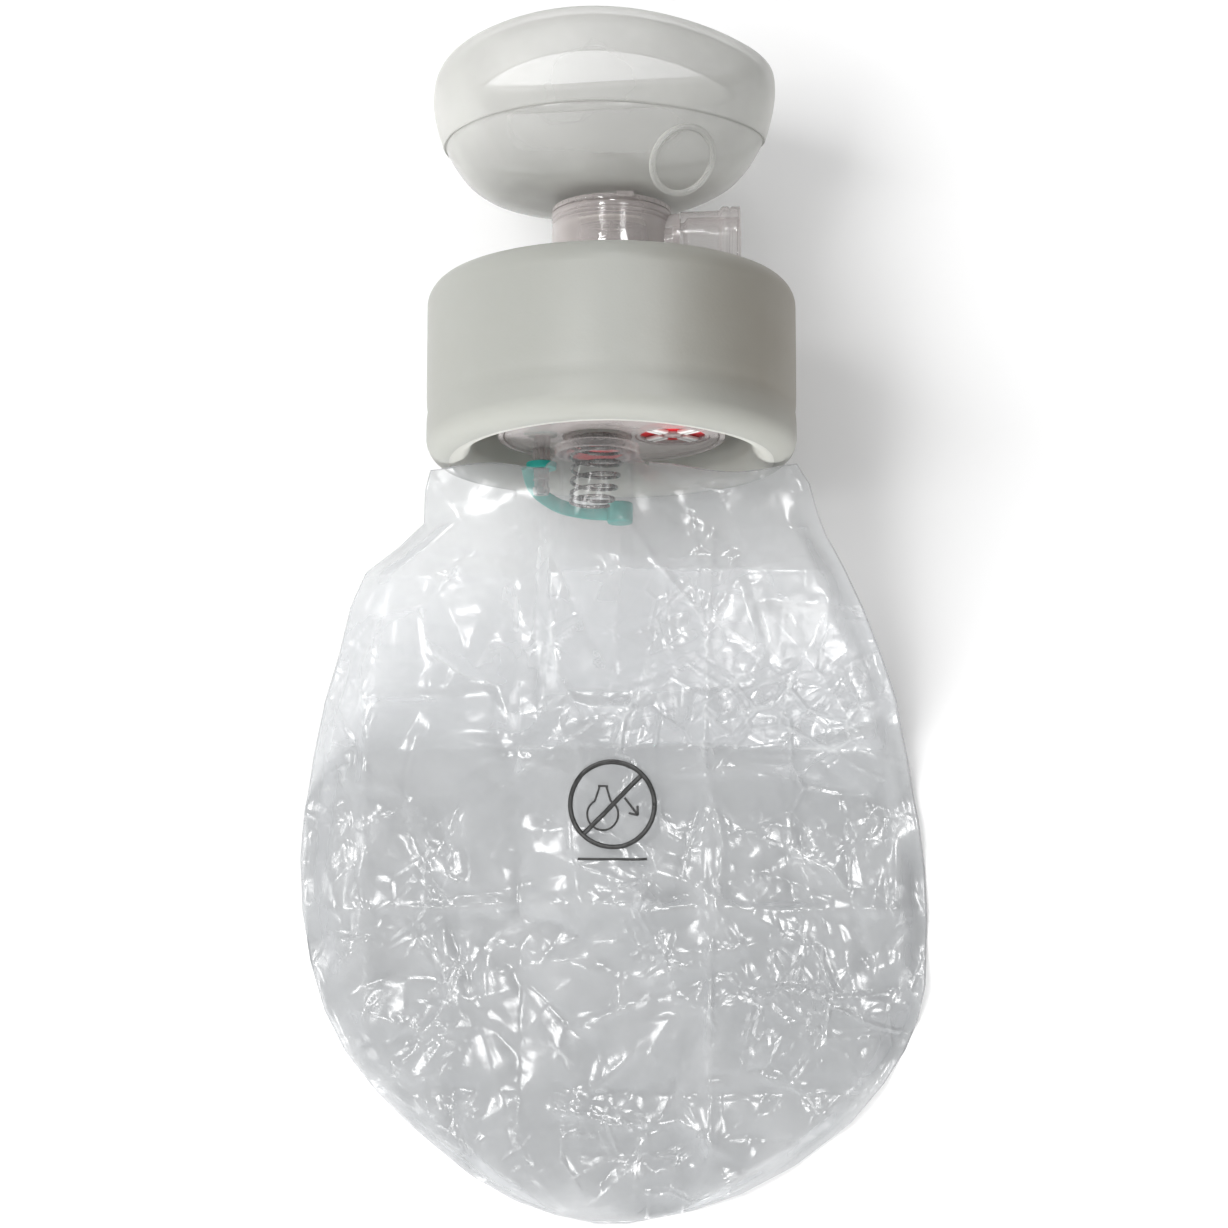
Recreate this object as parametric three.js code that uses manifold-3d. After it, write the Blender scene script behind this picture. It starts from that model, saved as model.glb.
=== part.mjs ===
// Bag valve mask (manual resuscitator) with a reservoir bag, stored with its
// squeeze bag pushed in on itself. Millimetres, +Z up. The device axis runs
// along Y, mask towards +Y. "a" is the distance along that axis from the
// folded bag's rear lip, and every turned profile is a list of [radius, a].
import * as THREE from 'three';
import { mergeVertices } from 'three/addons/utils/BufferGeometryUtils.js';
import Module from 'manifold-3d';

const wasm = await Module();
wasm.setup();

// ---- driving dimensions ----
const GAP = 0.3; // clearance between separate pieces
const BAG_R = 65; // squeeze bag, outside radius
const BAG_LEN = 64.5; // folded bag, lip to crown
const BAG_WALL = 2.6;
const LIP_R = 8; // roll radius of the folded lip
const SHOULDER_R = 9;
const RECESS_A = 36; // depth of the folded rear neck behind the lip
const NECK_HOLE_R = 18; // hole in the bag at each neck
const VALVE_R = 21.25; // patient valve, outside radius
const VALVE_WALL = 2;
const VALVE_TOP = 92.3;
const PORT_A = 79; // exhaust port's axis
const PORT_END_X = VALVE_R + 24.25;
const PORT_JOINT_X = VALVE_R + 3.15;
const PORT_RIM_R = 14;
const PORT_BORE_R = 10.3;
const PATIENT_OD_R = 11; // 22 mm male connector
const PATIENT_ID_R = 7.5; // 15 mm female bore
const CONNECTOR_TOP = 110;
const MASK_LEN = 122; // nose to chin
const MASK_WIDTH = 94; // cheek to cheek
const MASK_WALL = 2;
const HOUSING_R = 40; // reservoir valve housing
const HOUSING_BACK = 9;
const HOUSING_FRONT = 24.3;
const NECK_X = -0.125 * HOUSING_R; // reservoir neck, off centre beside the air inlet
const NECK_TUBE_R = 0.3 * HOUSING_R;
const INLET_X = 0.5375 * HOUSING_R;
const INLET_R = 0.33 * HOUSING_R;
const OVERFLOW = [-0.15 * HOUSING_R, -0.61 * HOUSING_R]; // overflow valve, x and height from the axis
const OVERFLOW_R = 0.275 * HOUSING_R;
const SPRING_WIRE_R = 0.65;
const SPRING_BASE_R = NECK_TUBE_R - 2.8;
const SPRING_END_R = NECK_TUBE_R - 5.4;
const SPRING_LEN = 23;
const NIPPLE = [-0.625 * HOUSING_R, -0.5 * HOUSING_R]; // oxygen nipple, x and height from the axis
const FILM_END = -262;
const FILM_T = 1.6; // the two films lying together, stand-in thickness
const MASK_TOP = 153;

const CROWN = 64.5; // the front fittings are drawn for a crown here and move with the real one
const FRONT_SHIFT = BAG_LEN - CROWN;
const YO = -(FILM_END + MASK_TOP + FRONT_SHIFT) / 2; // puts the length's middle at y = 0
const SEG = 24;

const group = new THREE.Group();
group.name = 'bag_valve_mask';
const front = new THREE.Group(); // everything carried on the bag's crown
front.position.y = FRONT_SHIFT;
group.add(front);
let into = group;

// ---- helpers ----
function clean(geo) {
  const g = geo.clone();
  g.deleteAttribute('normal');
  g.deleteAttribute('uv');
  const m = mergeVertices(g, 1e-4);
  const p = m.attributes.position.array;
  const idx = [];
  for (let i = 0; i < m.index.count; i += 3) {
    const t = [m.index.getX(i), m.index.getX(i + 1), m.index.getX(i + 2)];
    if (t[0] !== t[1] && t[1] !== t[2] && t[2] !== t[0]) idx.push(...t);
  }
  let vol = 0;
  for (let i = 0; i < idx.length; i += 3) {
    const [a, b, c] = [idx[i] * 3, idx[i + 1] * 3, idx[i + 2] * 3];
    vol += p[a] * (p[b + 1] * p[c + 2] - p[b + 2] * p[c + 1])
      + p[a + 1] * (p[b + 2] * p[c] - p[b] * p[c + 2])
      + p[a + 2] * (p[b] * p[c + 1] - p[b + 1] * p[c]);
  }
  if (vol < 0) for (let i = 0; i < idx.length; i += 3) [idx[i], idx[i + 1]] = [idx[i + 1], idx[i]];
  m.setIndex(idx);
  return m;
}

function solid(geo) {
  const m = clean(geo);
  return new wasm.Manifold(new wasm.Mesh({
    numProp: 3,
    vertProperties: new Float32Array(m.attributes.position.array),
    triVerts: new Uint32Array(m.index.array),
  }));
}

function geometryOf(man) {
  const mesh = man.getMesh();
  const g = new THREE.BufferGeometry();
  const pos = new Float32Array(mesh.numVert * 3);
  for (let i = 0; i < mesh.numVert; i++) {
    for (let k = 0; k < 3; k++) pos[3 * i + k] = mesh.vertProperties[i * mesh.numProp + k];
  }
  g.setAttribute('position', new THREE.BufferAttribute(pos, 3));
  g.setIndex(Array.from(mesh.triVerts));
  return g;
}

const place = (g) => g.translate(0, YO, BAG_R);

function lathe(profile, x = 0, z = 0, seg = SEG) {
  const pts = profile.map(([r, a]) => new THREE.Vector2(r, a));
  if (profile[0][0] > 0 || profile[profile.length - 1][0] > 0) pts.push(pts[0].clone());
  return new THREE.LatheGeometry(pts, seg).translate(x, 0, z);
}

// a turned piece along +X at height PORT_A on the axis
function latheX(profile, a, seg = 24) {
  return lathe(profile, 0, 0, seg).rotateZ(-Math.PI / 2).translate(0, a, 0);
}

function drill(r, a0, a1, x = 0, z = 0, seg = 24) {
  return new THREE.CylinderGeometry(r, r, a1 - a0, seg).translate(x, (a0 + a1) / 2, z);
}

function arc(cr, ca, rad, from, to, n) {
  const out = [];
  for (let i = 0; i <= n; i++) {
    const t = ((from + ((to - from) * i) / n) * Math.PI) / 180;
    out.push([cr + rad * Math.cos(t), ca + rad * Math.sin(t)]);
  }
  return out;
}

function material(color, roughness, extra = {}) {
  return new THREE.MeshStandardMaterial({ color, roughness, metalness: 0, ...extra });
}
const clearSmoke = () => material(0xcfd4d0, 0.15, { transparent: true, opacity: 0.55 });
const silicone = () => material(0xc8cac2, 0.5);
const redRubber = () => material(0xc8232c, 0.45);

function add(name, geo, mat) {
  const mesh = new THREE.Mesh(place(clean(geo)), mat);
  mesh.geometry.computeVertexNormals();
  mesh.name = name;
  into.add(mesh);
}
const addMan = (name, man, mat) => add(name, geometryOf(man), mat);

// ---- squeeze bag: the front half stands, the rear half is turned inwards ----
const frontOuter = [
  [NECK_HOLE_R, BAG_LEN],
  ...arc(BAG_R - SHOULDER_R, BAG_LEN - SHOULDER_R, SHOULDER_R, 90, 0, 4),
  ...arc(BAG_R - LIP_R, LIP_R, LIP_R, 0, -88, 4),
];
const frontInner = [
  ...arc(BAG_R - LIP_R, LIP_R, LIP_R - BAG_WALL, -87, 0, 3),
  ...arc(BAG_R - SHOULDER_R, BAG_LEN - SHOULDER_R, SHOULDER_R - BAG_WALL, 0, 90, 3),
  [26, BAG_LEN - BAG_WALL],
  [25, BAG_LEN - 3.6],
  [NECK_HOLE_R, BAG_LEN - 3.6],
];
add('bag_front_half', lathe([...frontOuter, ...frontInner], 0, 0, 28), silicone());

const lipC = BAG_R - LIP_R;
const recessR = lipC - LIP_R;
const rearProfile = [
  ...arc(lipC, LIP_R, LIP_R, -92, -180, 3),
  [recessR - 1.2, 20],
  [recessR - 5, 28.5],
  [recessR - 11, 33.6],
  [recessR - 19, RECESS_A],
  [NECK_HOLE_R, RECESS_A],
  [NECK_HOLE_R, RECESS_A + BAG_WALL],
  [recessR - 18.5, RECESS_A + BAG_WALL],
  [recessR - 9.3, RECESS_A - 0.4],
  [recessR - 2.7, RECESS_A - 6.2],
  [recessR + 1.4, 20.6],
  ...arc(lipC, LIP_R, LIP_R - BAG_WALL, 180, 267, 3),
];
add('bag_rear_half', lathe(rearProfile, 0, 0, 28), silicone());

into = front;
// ---- front neck: mount through the bag, nut inside, swivel seal ----
const mountBoreR = 13.5;
const spigotR = NECK_HOLE_R - GAP;
const skirtInR = VALVE_R - 2.45;
const swivelR = skirtInR - 0.4;
add('bag_mount', lathe([
  [mountBoreR, 48], [spigotR, 48], [spigotR, CROWN + GAP], [VALVE_R, CROWN + GAP],
  [VALVE_R, 67], [swivelR, 67], [swivelR, 68.6], [swivelR - 1, 68.6], [swivelR - 1, 70.4],
  [swivelR, 70.4], [swivelR, 72], [mountBoreR, 72],
]), clearSmoke());
add('swivel_oring', lathe(
  arc(swivelR - 0.4, 69.5, 0.5, 0, 270, 3)), material(0xd8d4c8, 0.6));
add('front_neck_ring', lathe([
  [NECK_HOLE_R, 56.4], [25, 56.4], [25, CROWN - 3.6 - GAP], [NECK_HOLE_R, CROWN - 3.6 - GAP],
]), material(0xe6e6e2, 0.4));

// ---- patient valve ----
const chamberR = VALVE_R - VALVE_WALL;
const seatA = 85.6;
const bodyTop = VALVE_TOP - 2.3;
let body = solid(lathe([
  [skirtInR, 67 + GAP], [VALVE_R, 67 + GAP], [VALVE_R, bodyTop], [chamberR, bodyTop],
  [chamberR, 73], [skirtInR, 73],
]));
body = body.add(solid(latheX([
  [0, VALVE_R - 2.75], [10.8, VALVE_R - 2.75], [11.4, VALVE_R + 1], [11.4, PORT_JOINT_X - GAP], [0, PORT_JOINT_X - GAP]], PORT_A)));
body = body.subtract(solid(latheX([[0, VALVE_R - 11], [6.2, VALVE_R - 11],
  [6.2, PORT_JOINT_X - 2.8], [9.8, PORT_JOINT_X - 2.8], [9.8, PORT_JOINT_X + 6], [0, PORT_JOINT_X + 6]], PORT_A)));
body = body.subtract(solid(drill(chamberR, 73.5, seatA + 8, 0, 0, SEG)));
body = body.add(solid(new THREE.BoxGeometry(4.2, 4, 3.6).translate(-VALVE_R - 0.9, 86.5, 0)));
addMan('valve_body', body, clearSmoke());

add('exhale_port', latheX([
  [8, PORT_JOINT_X - 2.3], [9.5, PORT_JOINT_X - 2.3], [9.5, PORT_JOINT_X], [12, PORT_JOINT_X], [12.3, PORT_END_X - 6.9],
  [PORT_RIM_R - 0.4, PORT_END_X - 6.3], [PORT_RIM_R, PORT_END_X - 5.5], [PORT_RIM_R, PORT_END_X],
  [PORT_BORE_R, PORT_END_X], [PORT_BORE_R - 0.4, PORT_JOINT_X + 2.6], [8, PORT_JOINT_X + 1.1],
], PORT_A), clearSmoke());

const seatTubeR = mountBoreR - 0.4;
let seat = solid(lathe([
  [11.6, 66], [seatTubeR, 66], [seatTubeR, seatA], [chamberR - GAP, seatA],
  [chamberR - GAP, seatA + 1.4], [8, seatA + 1.4], [8, seatA], [11.6, seatA],
]));
for (let i = 0; i < 8; i++) {
  const t = (i / 8) * 2 * Math.PI;
  seat = seat.subtract(solid(drill(1.7, seatA - 1, seatA + 3, 15.9 * Math.cos(t), 15.9 * Math.sin(t), 6)));
}
for (let i = 0; i < 2; i++) {
  seat = seat.add(solid(new THREE.BoxGeometry(17, 1.2, 1.2).rotateY((i * Math.PI) / 2).translate(0, seatA + 0.6, 0)));
}
addMan('valve_seat', seat, clearSmoke());

const lipA = seatA + 1.4 + GAP;
add('lip_valve', lathe([
  [0, lipA], [10.8, lipA], [10.8, lipA + 0.9], [5, lipA + 1.1], [1.6, lipA + 1.9], [0, lipA + 1.9]],
0, 0, 24), material(0xe8e4d8, 0.5));
add('exhale_disc', lathe([
  [13.5, seatA - GAP - 1], [chamberR - 0.65, seatA - GAP - 1], [chamberR - 0.65, seatA - GAP], [13.5, seatA - GAP]],
0, 0, 24), material(0xe8e4d8, 0.5));

let cap = solid(lathe([
  [PATIENT_ID_R, VALVE_TOP - 2], [chamberR - 1.6, VALVE_TOP - 2], [chamberR - 1.6, VALVE_TOP - 3.3],
  [chamberR - GAP, VALVE_TOP - 3.3], [chamberR - GAP, VALVE_TOP - 2], [VALVE_R, VALVE_TOP - 2],
  [VALVE_R, VALVE_TOP - 0.5], [VALVE_R - 0.5, VALVE_TOP], [15.5, VALVE_TOP],
  [15.5, VALVE_TOP - 0.5], [PATIENT_OD_R + 0.3, VALVE_TOP - 0.5], [PATIENT_OD_R, CONNECTOR_TOP],
  [PATIENT_ID_R + 0.3, CONNECTOR_TOP],
]));
cap = cap.add(solid(new THREE.BoxGeometry(6, 2, 2.4).translate(4.7, VALVE_TOP - 0.7, VALVE_R - 0.6)));
cap = cap.subtract(solid(drill(PATIENT_ID_R, 80, 112)));
addMan('patient_connector', cap, clearSmoke());

// ---- mask: dome with the 22 mm socket, and the face cushion ----
// One ring of the mask's plan shape: an oval drawn to a point at the nose (+X),
// its cheeks (+Z and -Z) standing higher than its ends.
const RING_N = 24;
function ring(cx, half, width, a, cheek, nose, pinch) {
  const out = [];
  for (let i = 0; i < RING_N; i++) {
    const t = (i / RING_N) * 2 * Math.PI;
    const c = Math.cos(t);
    const s = Math.sin(t);
    const x = cx + half * c;
    const z = width * s * (1 - pinch * c - 0.3 * pinch * c * c);
    out.push([x, a + cheek * s * s + nose * c, z]);
  }
  return out;
}

// Closed shell through a loop of rings, each ring joined to the next.
function shell(rings) {
  const n = rings.length;
  const pos = [];
  for (const r of rings) for (const p of r) pos.push(...p);
  const idx = [];
  for (let k = 0; k < n; k++) {
    for (let i = 0; i < RING_N; i++) {
      const j = (i + 1) % RING_N;
      const A = k * RING_N + i;
      const B = k * RING_N + j;
      const C = ((k + 1) % n) * RING_N + i;
      const D = ((k + 1) % n) * RING_N + j;
      idx.push(A, C, B, B, C, D);
    }
  }
  const g = new THREE.BufferGeometry();
  g.setAttribute('position', new THREE.Float32BufferAttribute(pos, 3));
  g.setIndex(idx);
  return g;
}

const CX = -2.5;
const L = MASK_LEN / 2;
const W = MASK_WIDTH / 2;
const w = MASK_WALL;
const neckIn = PATIENT_OD_R + 0.6;
const neckOut = neckIn + 2.4;
const domeRings = [
  ring(CX * 0.5, 30, 25, 95, 0, 0.4, 0.03),
  ring(CX, L * 0.645, W * 0.665, 97.4, 0.5, 0.8, 0.08),
  ring(CX, L * 0.77, W * 0.79, 102, 1, 1, 0.12),
  ring(CX, L * 0.86, W * 0.87, 108.5, 1.5, 1.2, 0.15),
  ring(CX, L * 0.925, W * 0.93, 116, 2, 1.5, 0.17),
  ring(CX, L * 0.925 - w, W * 0.93 - w, 116.4, 2, 1.5, 0.17),
  ring(CX, L * 0.86 - w, W * 0.87 - w, 109.4, 1.5, 1.2, 0.15),
  ring(CX, L * 0.77 - 1.9, W * 0.79 - 1.9, 103.6, 1, 1, 0.12),
  ring(CX, L * 0.645 - 1, W * 0.665 - 1, 99.3, 0.5, 0.8, 0.08),
  ring(CX * 0.5, 29, 24, 96.9, 0, 0.4, 0.03),
];
// The neck socket is a plain tube; the bowl is a shell open in the middle.
const socket = solid(lathe([
  [neckIn, VALVE_TOP + 0.6], [neckOut, VALVE_TOP + 0.6], [neckOut, 108], [neckIn, 108]]));
const bowlOuter = domeRings.slice(0, 5);
const bowlInner = domeRings.slice(5);
const bowl = solid(shell([
  ring(0, neckIn + 1, neckIn + 1, 94.9, 0, 0, 0), ...bowlOuter, ...bowlInner,
  ring(0, neckIn + 1, neckIn + 1, 96.9, 0, 0, 0)]));
let dome = socket.add(bowl);
const loop = new THREE.TorusGeometry(12, 1.3, 6, 18)
  .applyQuaternion(new THREE.Quaternion().setFromUnitVectors(
    new THREE.Vector3(0, 0, 1), new THREE.Vector3(0.47, -0.52, 0.71).normalize()))
  .translate(24.8, 102.4, 26);
dome = dome.add(solid(loop));
dome = dome.subtract(solid(drill(neckIn, 90, 112, 0, 0, SEG)));
addMan('mask_dome', dome, material(0xd0d2ca, 0.35));

const cushion = shell([
  ring(CX, L * 0.93, W * 0.935, 116.9, 2, 1.5, 0.17),
  ring(CX, L * 0.955, W * 0.955, 117.2, 2, 1.5, 0.17),
  ring(CX, L * 0.985, W * 0.985, 126, 2.8, 2, 0.18),
  ring(CX, L, W, 134, 4.5, 2.5, 0.19),
  ring(CX, L * 0.985, W * 0.985, 141, 6, 2, 0.2),
  ring(CX, L * 0.935, W * 0.92, 145.2, 7.4, 1.2, 0.2),
  ring(CX, L * 0.86, W * 0.82, MASK_TOP - 8, 8, 0.6, 0.2),
  ring(CX, L * 0.78, W * 0.73, 141, 8, 0.4, 0.2),
  ring(CX, L * 0.74, W * 0.69, 134, 7, 0.4, 0.2),
  ring(CX, L * 0.78 - w, W * 0.73 - w + 3.6, 134, 7, 0.4, 0.2),
  ring(CX, L * 0.79, W * 0.745, 139.4, 8, 0.4, 0.2),
  ring(CX, L * 0.86, W * 0.825, MASK_TOP - 10.2, 8, 0.6, 0.2),
  ring(CX, L * 0.915, W * 0.9, 142.6, 7.2, 1.2, 0.2),
  ring(CX, L * 0.95, W * 0.945, 138.6, 6, 2, 0.2),
  ring(CX, L - w, W - w, 133, 4.5, 2.5, 0.19),
  ring(CX, L * 0.985 - w, W * 0.985 - w, 126, 2.8, 2, 0.18),
  ring(CX, L * 0.925 - w - 0.4, W * 0.93 - w - 0.4, 119, 2, 1.5, 0.17),
  ring(CX, L * 0.925 - w - 0.4, W * 0.93 - w - 0.4, 116.9, 2, 1.5, 0.17),
]);
add('mask_cushion', cushion, material(0xb4b6b0, 0.6));

into = group;
// ---- rear neck and intake ----
const ringA = RECESS_A + BAG_WALL + GAP;
add('rear_neck_ring', lathe([
  [NECK_HOLE_R, ringA], [25, ringA], [25, ringA + 4], [NECK_HOLE_R, ringA + 4]]), material(0xe6e6e2, 0.4));
const intakeBore = 14.4;
add('intake_housing', lathe([
  [intakeBore, 25.6], [19.3, 25.6], [19.3, 33.2], [23.5, 33.2], [23.5, RECESS_A - GAP],
  [spigotR, RECESS_A - GAP], [spigotR, 45], [intakeBore, 45]]), clearSmoke());
let iseat = solid(lathe([[0, 27], [intakeBore - 0.2, 27], [intakeBore - 0.2, 28.4], [0, 28.4]], 0, 0, 32));
for (let i = 0; i < 6; i++) {
  const t = ((i + 0.5) / 6) * 2 * Math.PI;
  iseat = iseat.subtract(solid(drill(3.1, 26, 30, 7.6 * Math.cos(t), 7.6 * Math.sin(t), 8)));
}
addMan('intake_seat', iseat, clearSmoke());
add('intake_flap', lathe([[0, 28.7], [12, 28.7], [12, 29.6], [2.4, 30], [0, 30]], 0, 0, 24), redRubber());
add('housing_gasket', lathe([[15.2, HOUSING_FRONT + 0.2], [19.2, HOUSING_FRONT + 0.2],
  [19.2, HOUSING_FRONT + 1.1], [15.2, HOUSING_FRONT + 1.1]], 0, 0, 24), material(0xd8d4c8, 0.6));

// ---- reservoir valve housing, its face plate, inlet and overflow valves ----
let cup = solid(lathe([
  [14.6, HOUSING_FRONT], [HOUSING_R - 3, HOUSING_FRONT], [HOUSING_R, HOUSING_FRONT - 3],
  [HOUSING_R, HOUSING_BACK], [HOUSING_R - 2, HOUSING_BACK], [HOUSING_R - 2, HOUSING_FRONT - 3.4],
  [HOUSING_R - 4, HOUSING_FRONT - 2], [14.6, HOUSING_FRONT - 2]]));
addMan('reservoir_valve_housing', cup, clearSmoke());

const plateA = HOUSING_BACK + 0.4;
let plate = solid(lathe([[0, plateA], [HOUSING_R - 2.3, plateA], [HOUSING_R - 2.3, plateA + 2], [0, plateA + 2]]));
plate = plate.subtract(solid(drill(NECK_TUBE_R + GAP, 0, 20, NECK_X)));
plate = plate.subtract(solid(drill(INLET_R, 0, 20, INLET_X)));
plate = plate.subtract(solid(drill(OVERFLOW_R, 0, 20, OVERFLOW[0], OVERFLOW[1])));
plate = plate.subtract(solid(drill(3.3, 0, 20, NIPPLE[0], NIPPLE[1])));
addMan('reservoir_face_plate', plate, clearSmoke());

function grille(x, z, rad, a0, spokes) {
  const r = rad - 0.2;
  let g = solid(lathe([[r - 1.6, a0], [r, a0], [r, a0 + 1.2], [r - 1.6, a0 + 1.2]], x, z, 24));
  g = g.add(solid(drill(3, a0, a0 + 1.2, x, z, 16)));
  for (let i = 0; i < spokes; i++) {
    g = g.add(solid(new THREE.BoxGeometry(r - 1.4, 1.2, 1.3).translate((r - 1.4) / 2 + 0.6, 0, 0)
      .rotateY((i / spokes) * 2 * Math.PI + Math.PI / 4).translate(x, a0 + 0.6, z)));
  }
  return g;
}
addMan('air_inlet_grille', grille(INLET_X, 0, INLET_R, plateA + 0.2, 4), clearSmoke());
addMan('overflow_grille', grille(...OVERFLOW, OVERFLOW_R, plateA + 0.6, 4), clearSmoke());
const flap = (x, z, r, a) => lathe([[0, a], [r, a], [r, a + 0.9], [0, a + 0.9]], x, z, 24);
add('air_inlet_flap', flap(INLET_X, 0, INLET_R - 1, plateA + 0.2 + 1.2 + GAP), redRubber());
add('overflow_flap', flap(...OVERFLOW, OVERFLOW_R - 1, plateA + 0.6 - GAP - 0.9), redRubber());

add('reservoir_neck_tube', lathe([
  [NECK_TUBE_R - 1.6, 2], [NECK_TUBE_R, 2], [NECK_TUBE_R, plateA + 2 + GAP],
  [NECK_TUBE_R + 1.1, plateA + 2 + GAP], [NECK_TUBE_R + 1.1, plateA + 3.6], [NECK_TUBE_R - 1.6, plateA + 3.6]],
NECK_X, 0, 24), clearSmoke());

// ---- steel spring that keeps the reservoir's neck open ----
class SpringCurve extends THREE.Curve {
  getPoint(t, target = new THREE.Vector3()) {
    const base = 1.6; // close turns at the wide end
    const open = 4.2;
    const end = 1.1; // closed turn at the narrow end
    const total = base + open + end;
    const u = t * total;
    const pitch0 = 2 * SPRING_WIRE_R + 0.35;
    const run = SPRING_LEN - base * pitch0 - end * pitch0;
    let along;
    if (u < base) along = u * pitch0;
    else if (u < base + open) along = base * pitch0 + ((u - base) / open) * run;
    else along = base * pitch0 + run + (u - base - open) * pitch0;
    const k = along / SPRING_LEN;
    const r = SPRING_BASE_R + (SPRING_END_R - SPRING_BASE_R) * Math.min(1, Math.max(0, (along - 2) / (SPRING_LEN - 4)));
    const th = u * 2 * Math.PI;
    return target.set(NECK_X + r * Math.cos(th) - 2 * k * k, 8.6 - along, r * Math.sin(th));
  }
}
const wire = new THREE.Shape();
for (let i = 0; i < 5; i++) {
  const t = (i / 5) * 2 * Math.PI;
  const p = [SPRING_WIRE_R * Math.cos(t), SPRING_WIRE_R * Math.sin(t)];
  if (i === 0) wire.moveTo(...p); else wire.lineTo(...p);
}
wire.closePath();
add('anti_collapse_spring', new THREE.ExtrudeGeometry(wire, {
  steps: 84, extrudePath: new SpringCurve(), curveSegments: 1,
}), material(0x9a9c9e, 0.3, { metalness: 1 }));

// ---- oxygen nipple and its tethered cap ----
const nx = NIPPLE[0];
const nz = NIPPLE[1];
add('oxygen_nipple', lathe([
  [1.4, -7], [2.6, -7], [3.2, -4.6], [2.5, -4.4], [2.5, -2], [3.2, -1.6], [2.7, -1.2],
  [2.7, 5.2], [3, 5.6], [3, plateA + 2 + GAP], [4.4, plateA + 2 + GAP], [4.4, plateA + 3.4], [1.4, plateA + 3.4]],
nx, nz, 20), clearSmoke());
const strapPath = new THREE.CatmullRomCurve3([
  new THREE.Vector3(nx - 4.8, 3.4, nz - 1), new THREE.Vector3(nx - 2.2, -3.2, nz - 8),
  new THREE.Vector3(nx + 5.5, -8.4, nz - 11), new THREE.Vector3(nx + 15, -10.8, nz - 11.5),
  new THREE.Vector3(nx + 25, -11.6, nz - 11)]);
const band = new THREE.Shape();
band.moveTo(-0.8, -2.5); band.lineTo(0.8, -2.5); band.lineTo(0.8, 2.5); band.lineTo(-0.8, 2.5); band.closePath();
let strap = solid(new THREE.ExtrudeGeometry(band, { steps: 24, extrudePath: strapPath }));
strap = strap.add(solid(lathe([[3, 2.2], [5.4, 2.2], [5.4, 4.6], [3, 4.6]], nx, nz, 24)));
strap = strap.add(solid(drill(4.6, -15.2, -7.6, nx + 28, nz - 11, 24)));
strap = strap.subtract(solid(drill(2.7, -12, -7, nx + 28, nz - 11, 20)));
addMan('oxygen_cap_strap', strap, material(0x1f9c94, 0.45));

// ---- reservoir bag: two films welded round the edge, lying nearly flat ----
// half widths to the left and right of the axis at each distance a
const LEFT = [[-2, -63.5], [-10, -65.4], [-21, -65.8], [-29, -74], [-37, -84.5], [-48, -92], [-62, -97],
  [-77, -102.8], [-97, -108], [-114, -111.2], [-132, -112.4], [-151, -111.4], [-169, -108.4], [-187, -102.8],
  [-201, -95.4], [-215, -84.5], [-229, -70], [-245, -50.4], [-254, -34.5], [-259, -20.5], [FILM_END, -8]];
const RIGHT = [[-2, 66], [-8, 69.5], [-18, 72.5], [-25, 75.5], [-36, 82.3], [-48, 88.8], [-62, 95.9],
  [-77, 102.4], [-97, 107.3], [-118, 111], [-136, 113.2], [-154, 113.8], [-178, 112.6], [-190, 109.9],
  [-201, 105.1], [-213, 97.2], [-227, 85.1], [-242, 65], [-252, 45.7], [-258, 28], [FILM_END, 8]];
function at(table, a) {
  if (a >= table[0][0]) return table[0][1];
  for (let i = 1; i < table.length; i++) {
    if (a >= table[i][0]) {
      const [a0, x0] = table[i - 1];
      const [a1, x1] = table[i];
      return x0 + ((x1 - x0) * (a - a0)) / (a1 - a0);
    }
  }
  return table[table.length - 1][1];
}
const smooth = (u) => { const v = Math.min(1, Math.max(0, u)); return v * v * (3 - 2 * v); };
const REST = BAG_R; // depth of the floor below the axis
function filmAt(x, a) {
  const drop = (1 - Math.cos(Math.PI * Math.min(1, Math.max(0, (-4 - a) / 114)))) / 2;
  const puff = (1 - smooth((-22 - a) / 60)) * Math.exp(-(((x - NECK_X) / 25) ** 2));
  const half = FILM_T / 2 + 13.2 * puff;
  const low = -REST * drop - half * (1 - drop);
  return [low, low + 2 * half];
}
const stations = [-1.5, -10, -18, -27, -37, -48, -62, -80, -98, -118, -140, -170,
  -192, -208, -222, -236, -248, -256, FILM_END];
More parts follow.
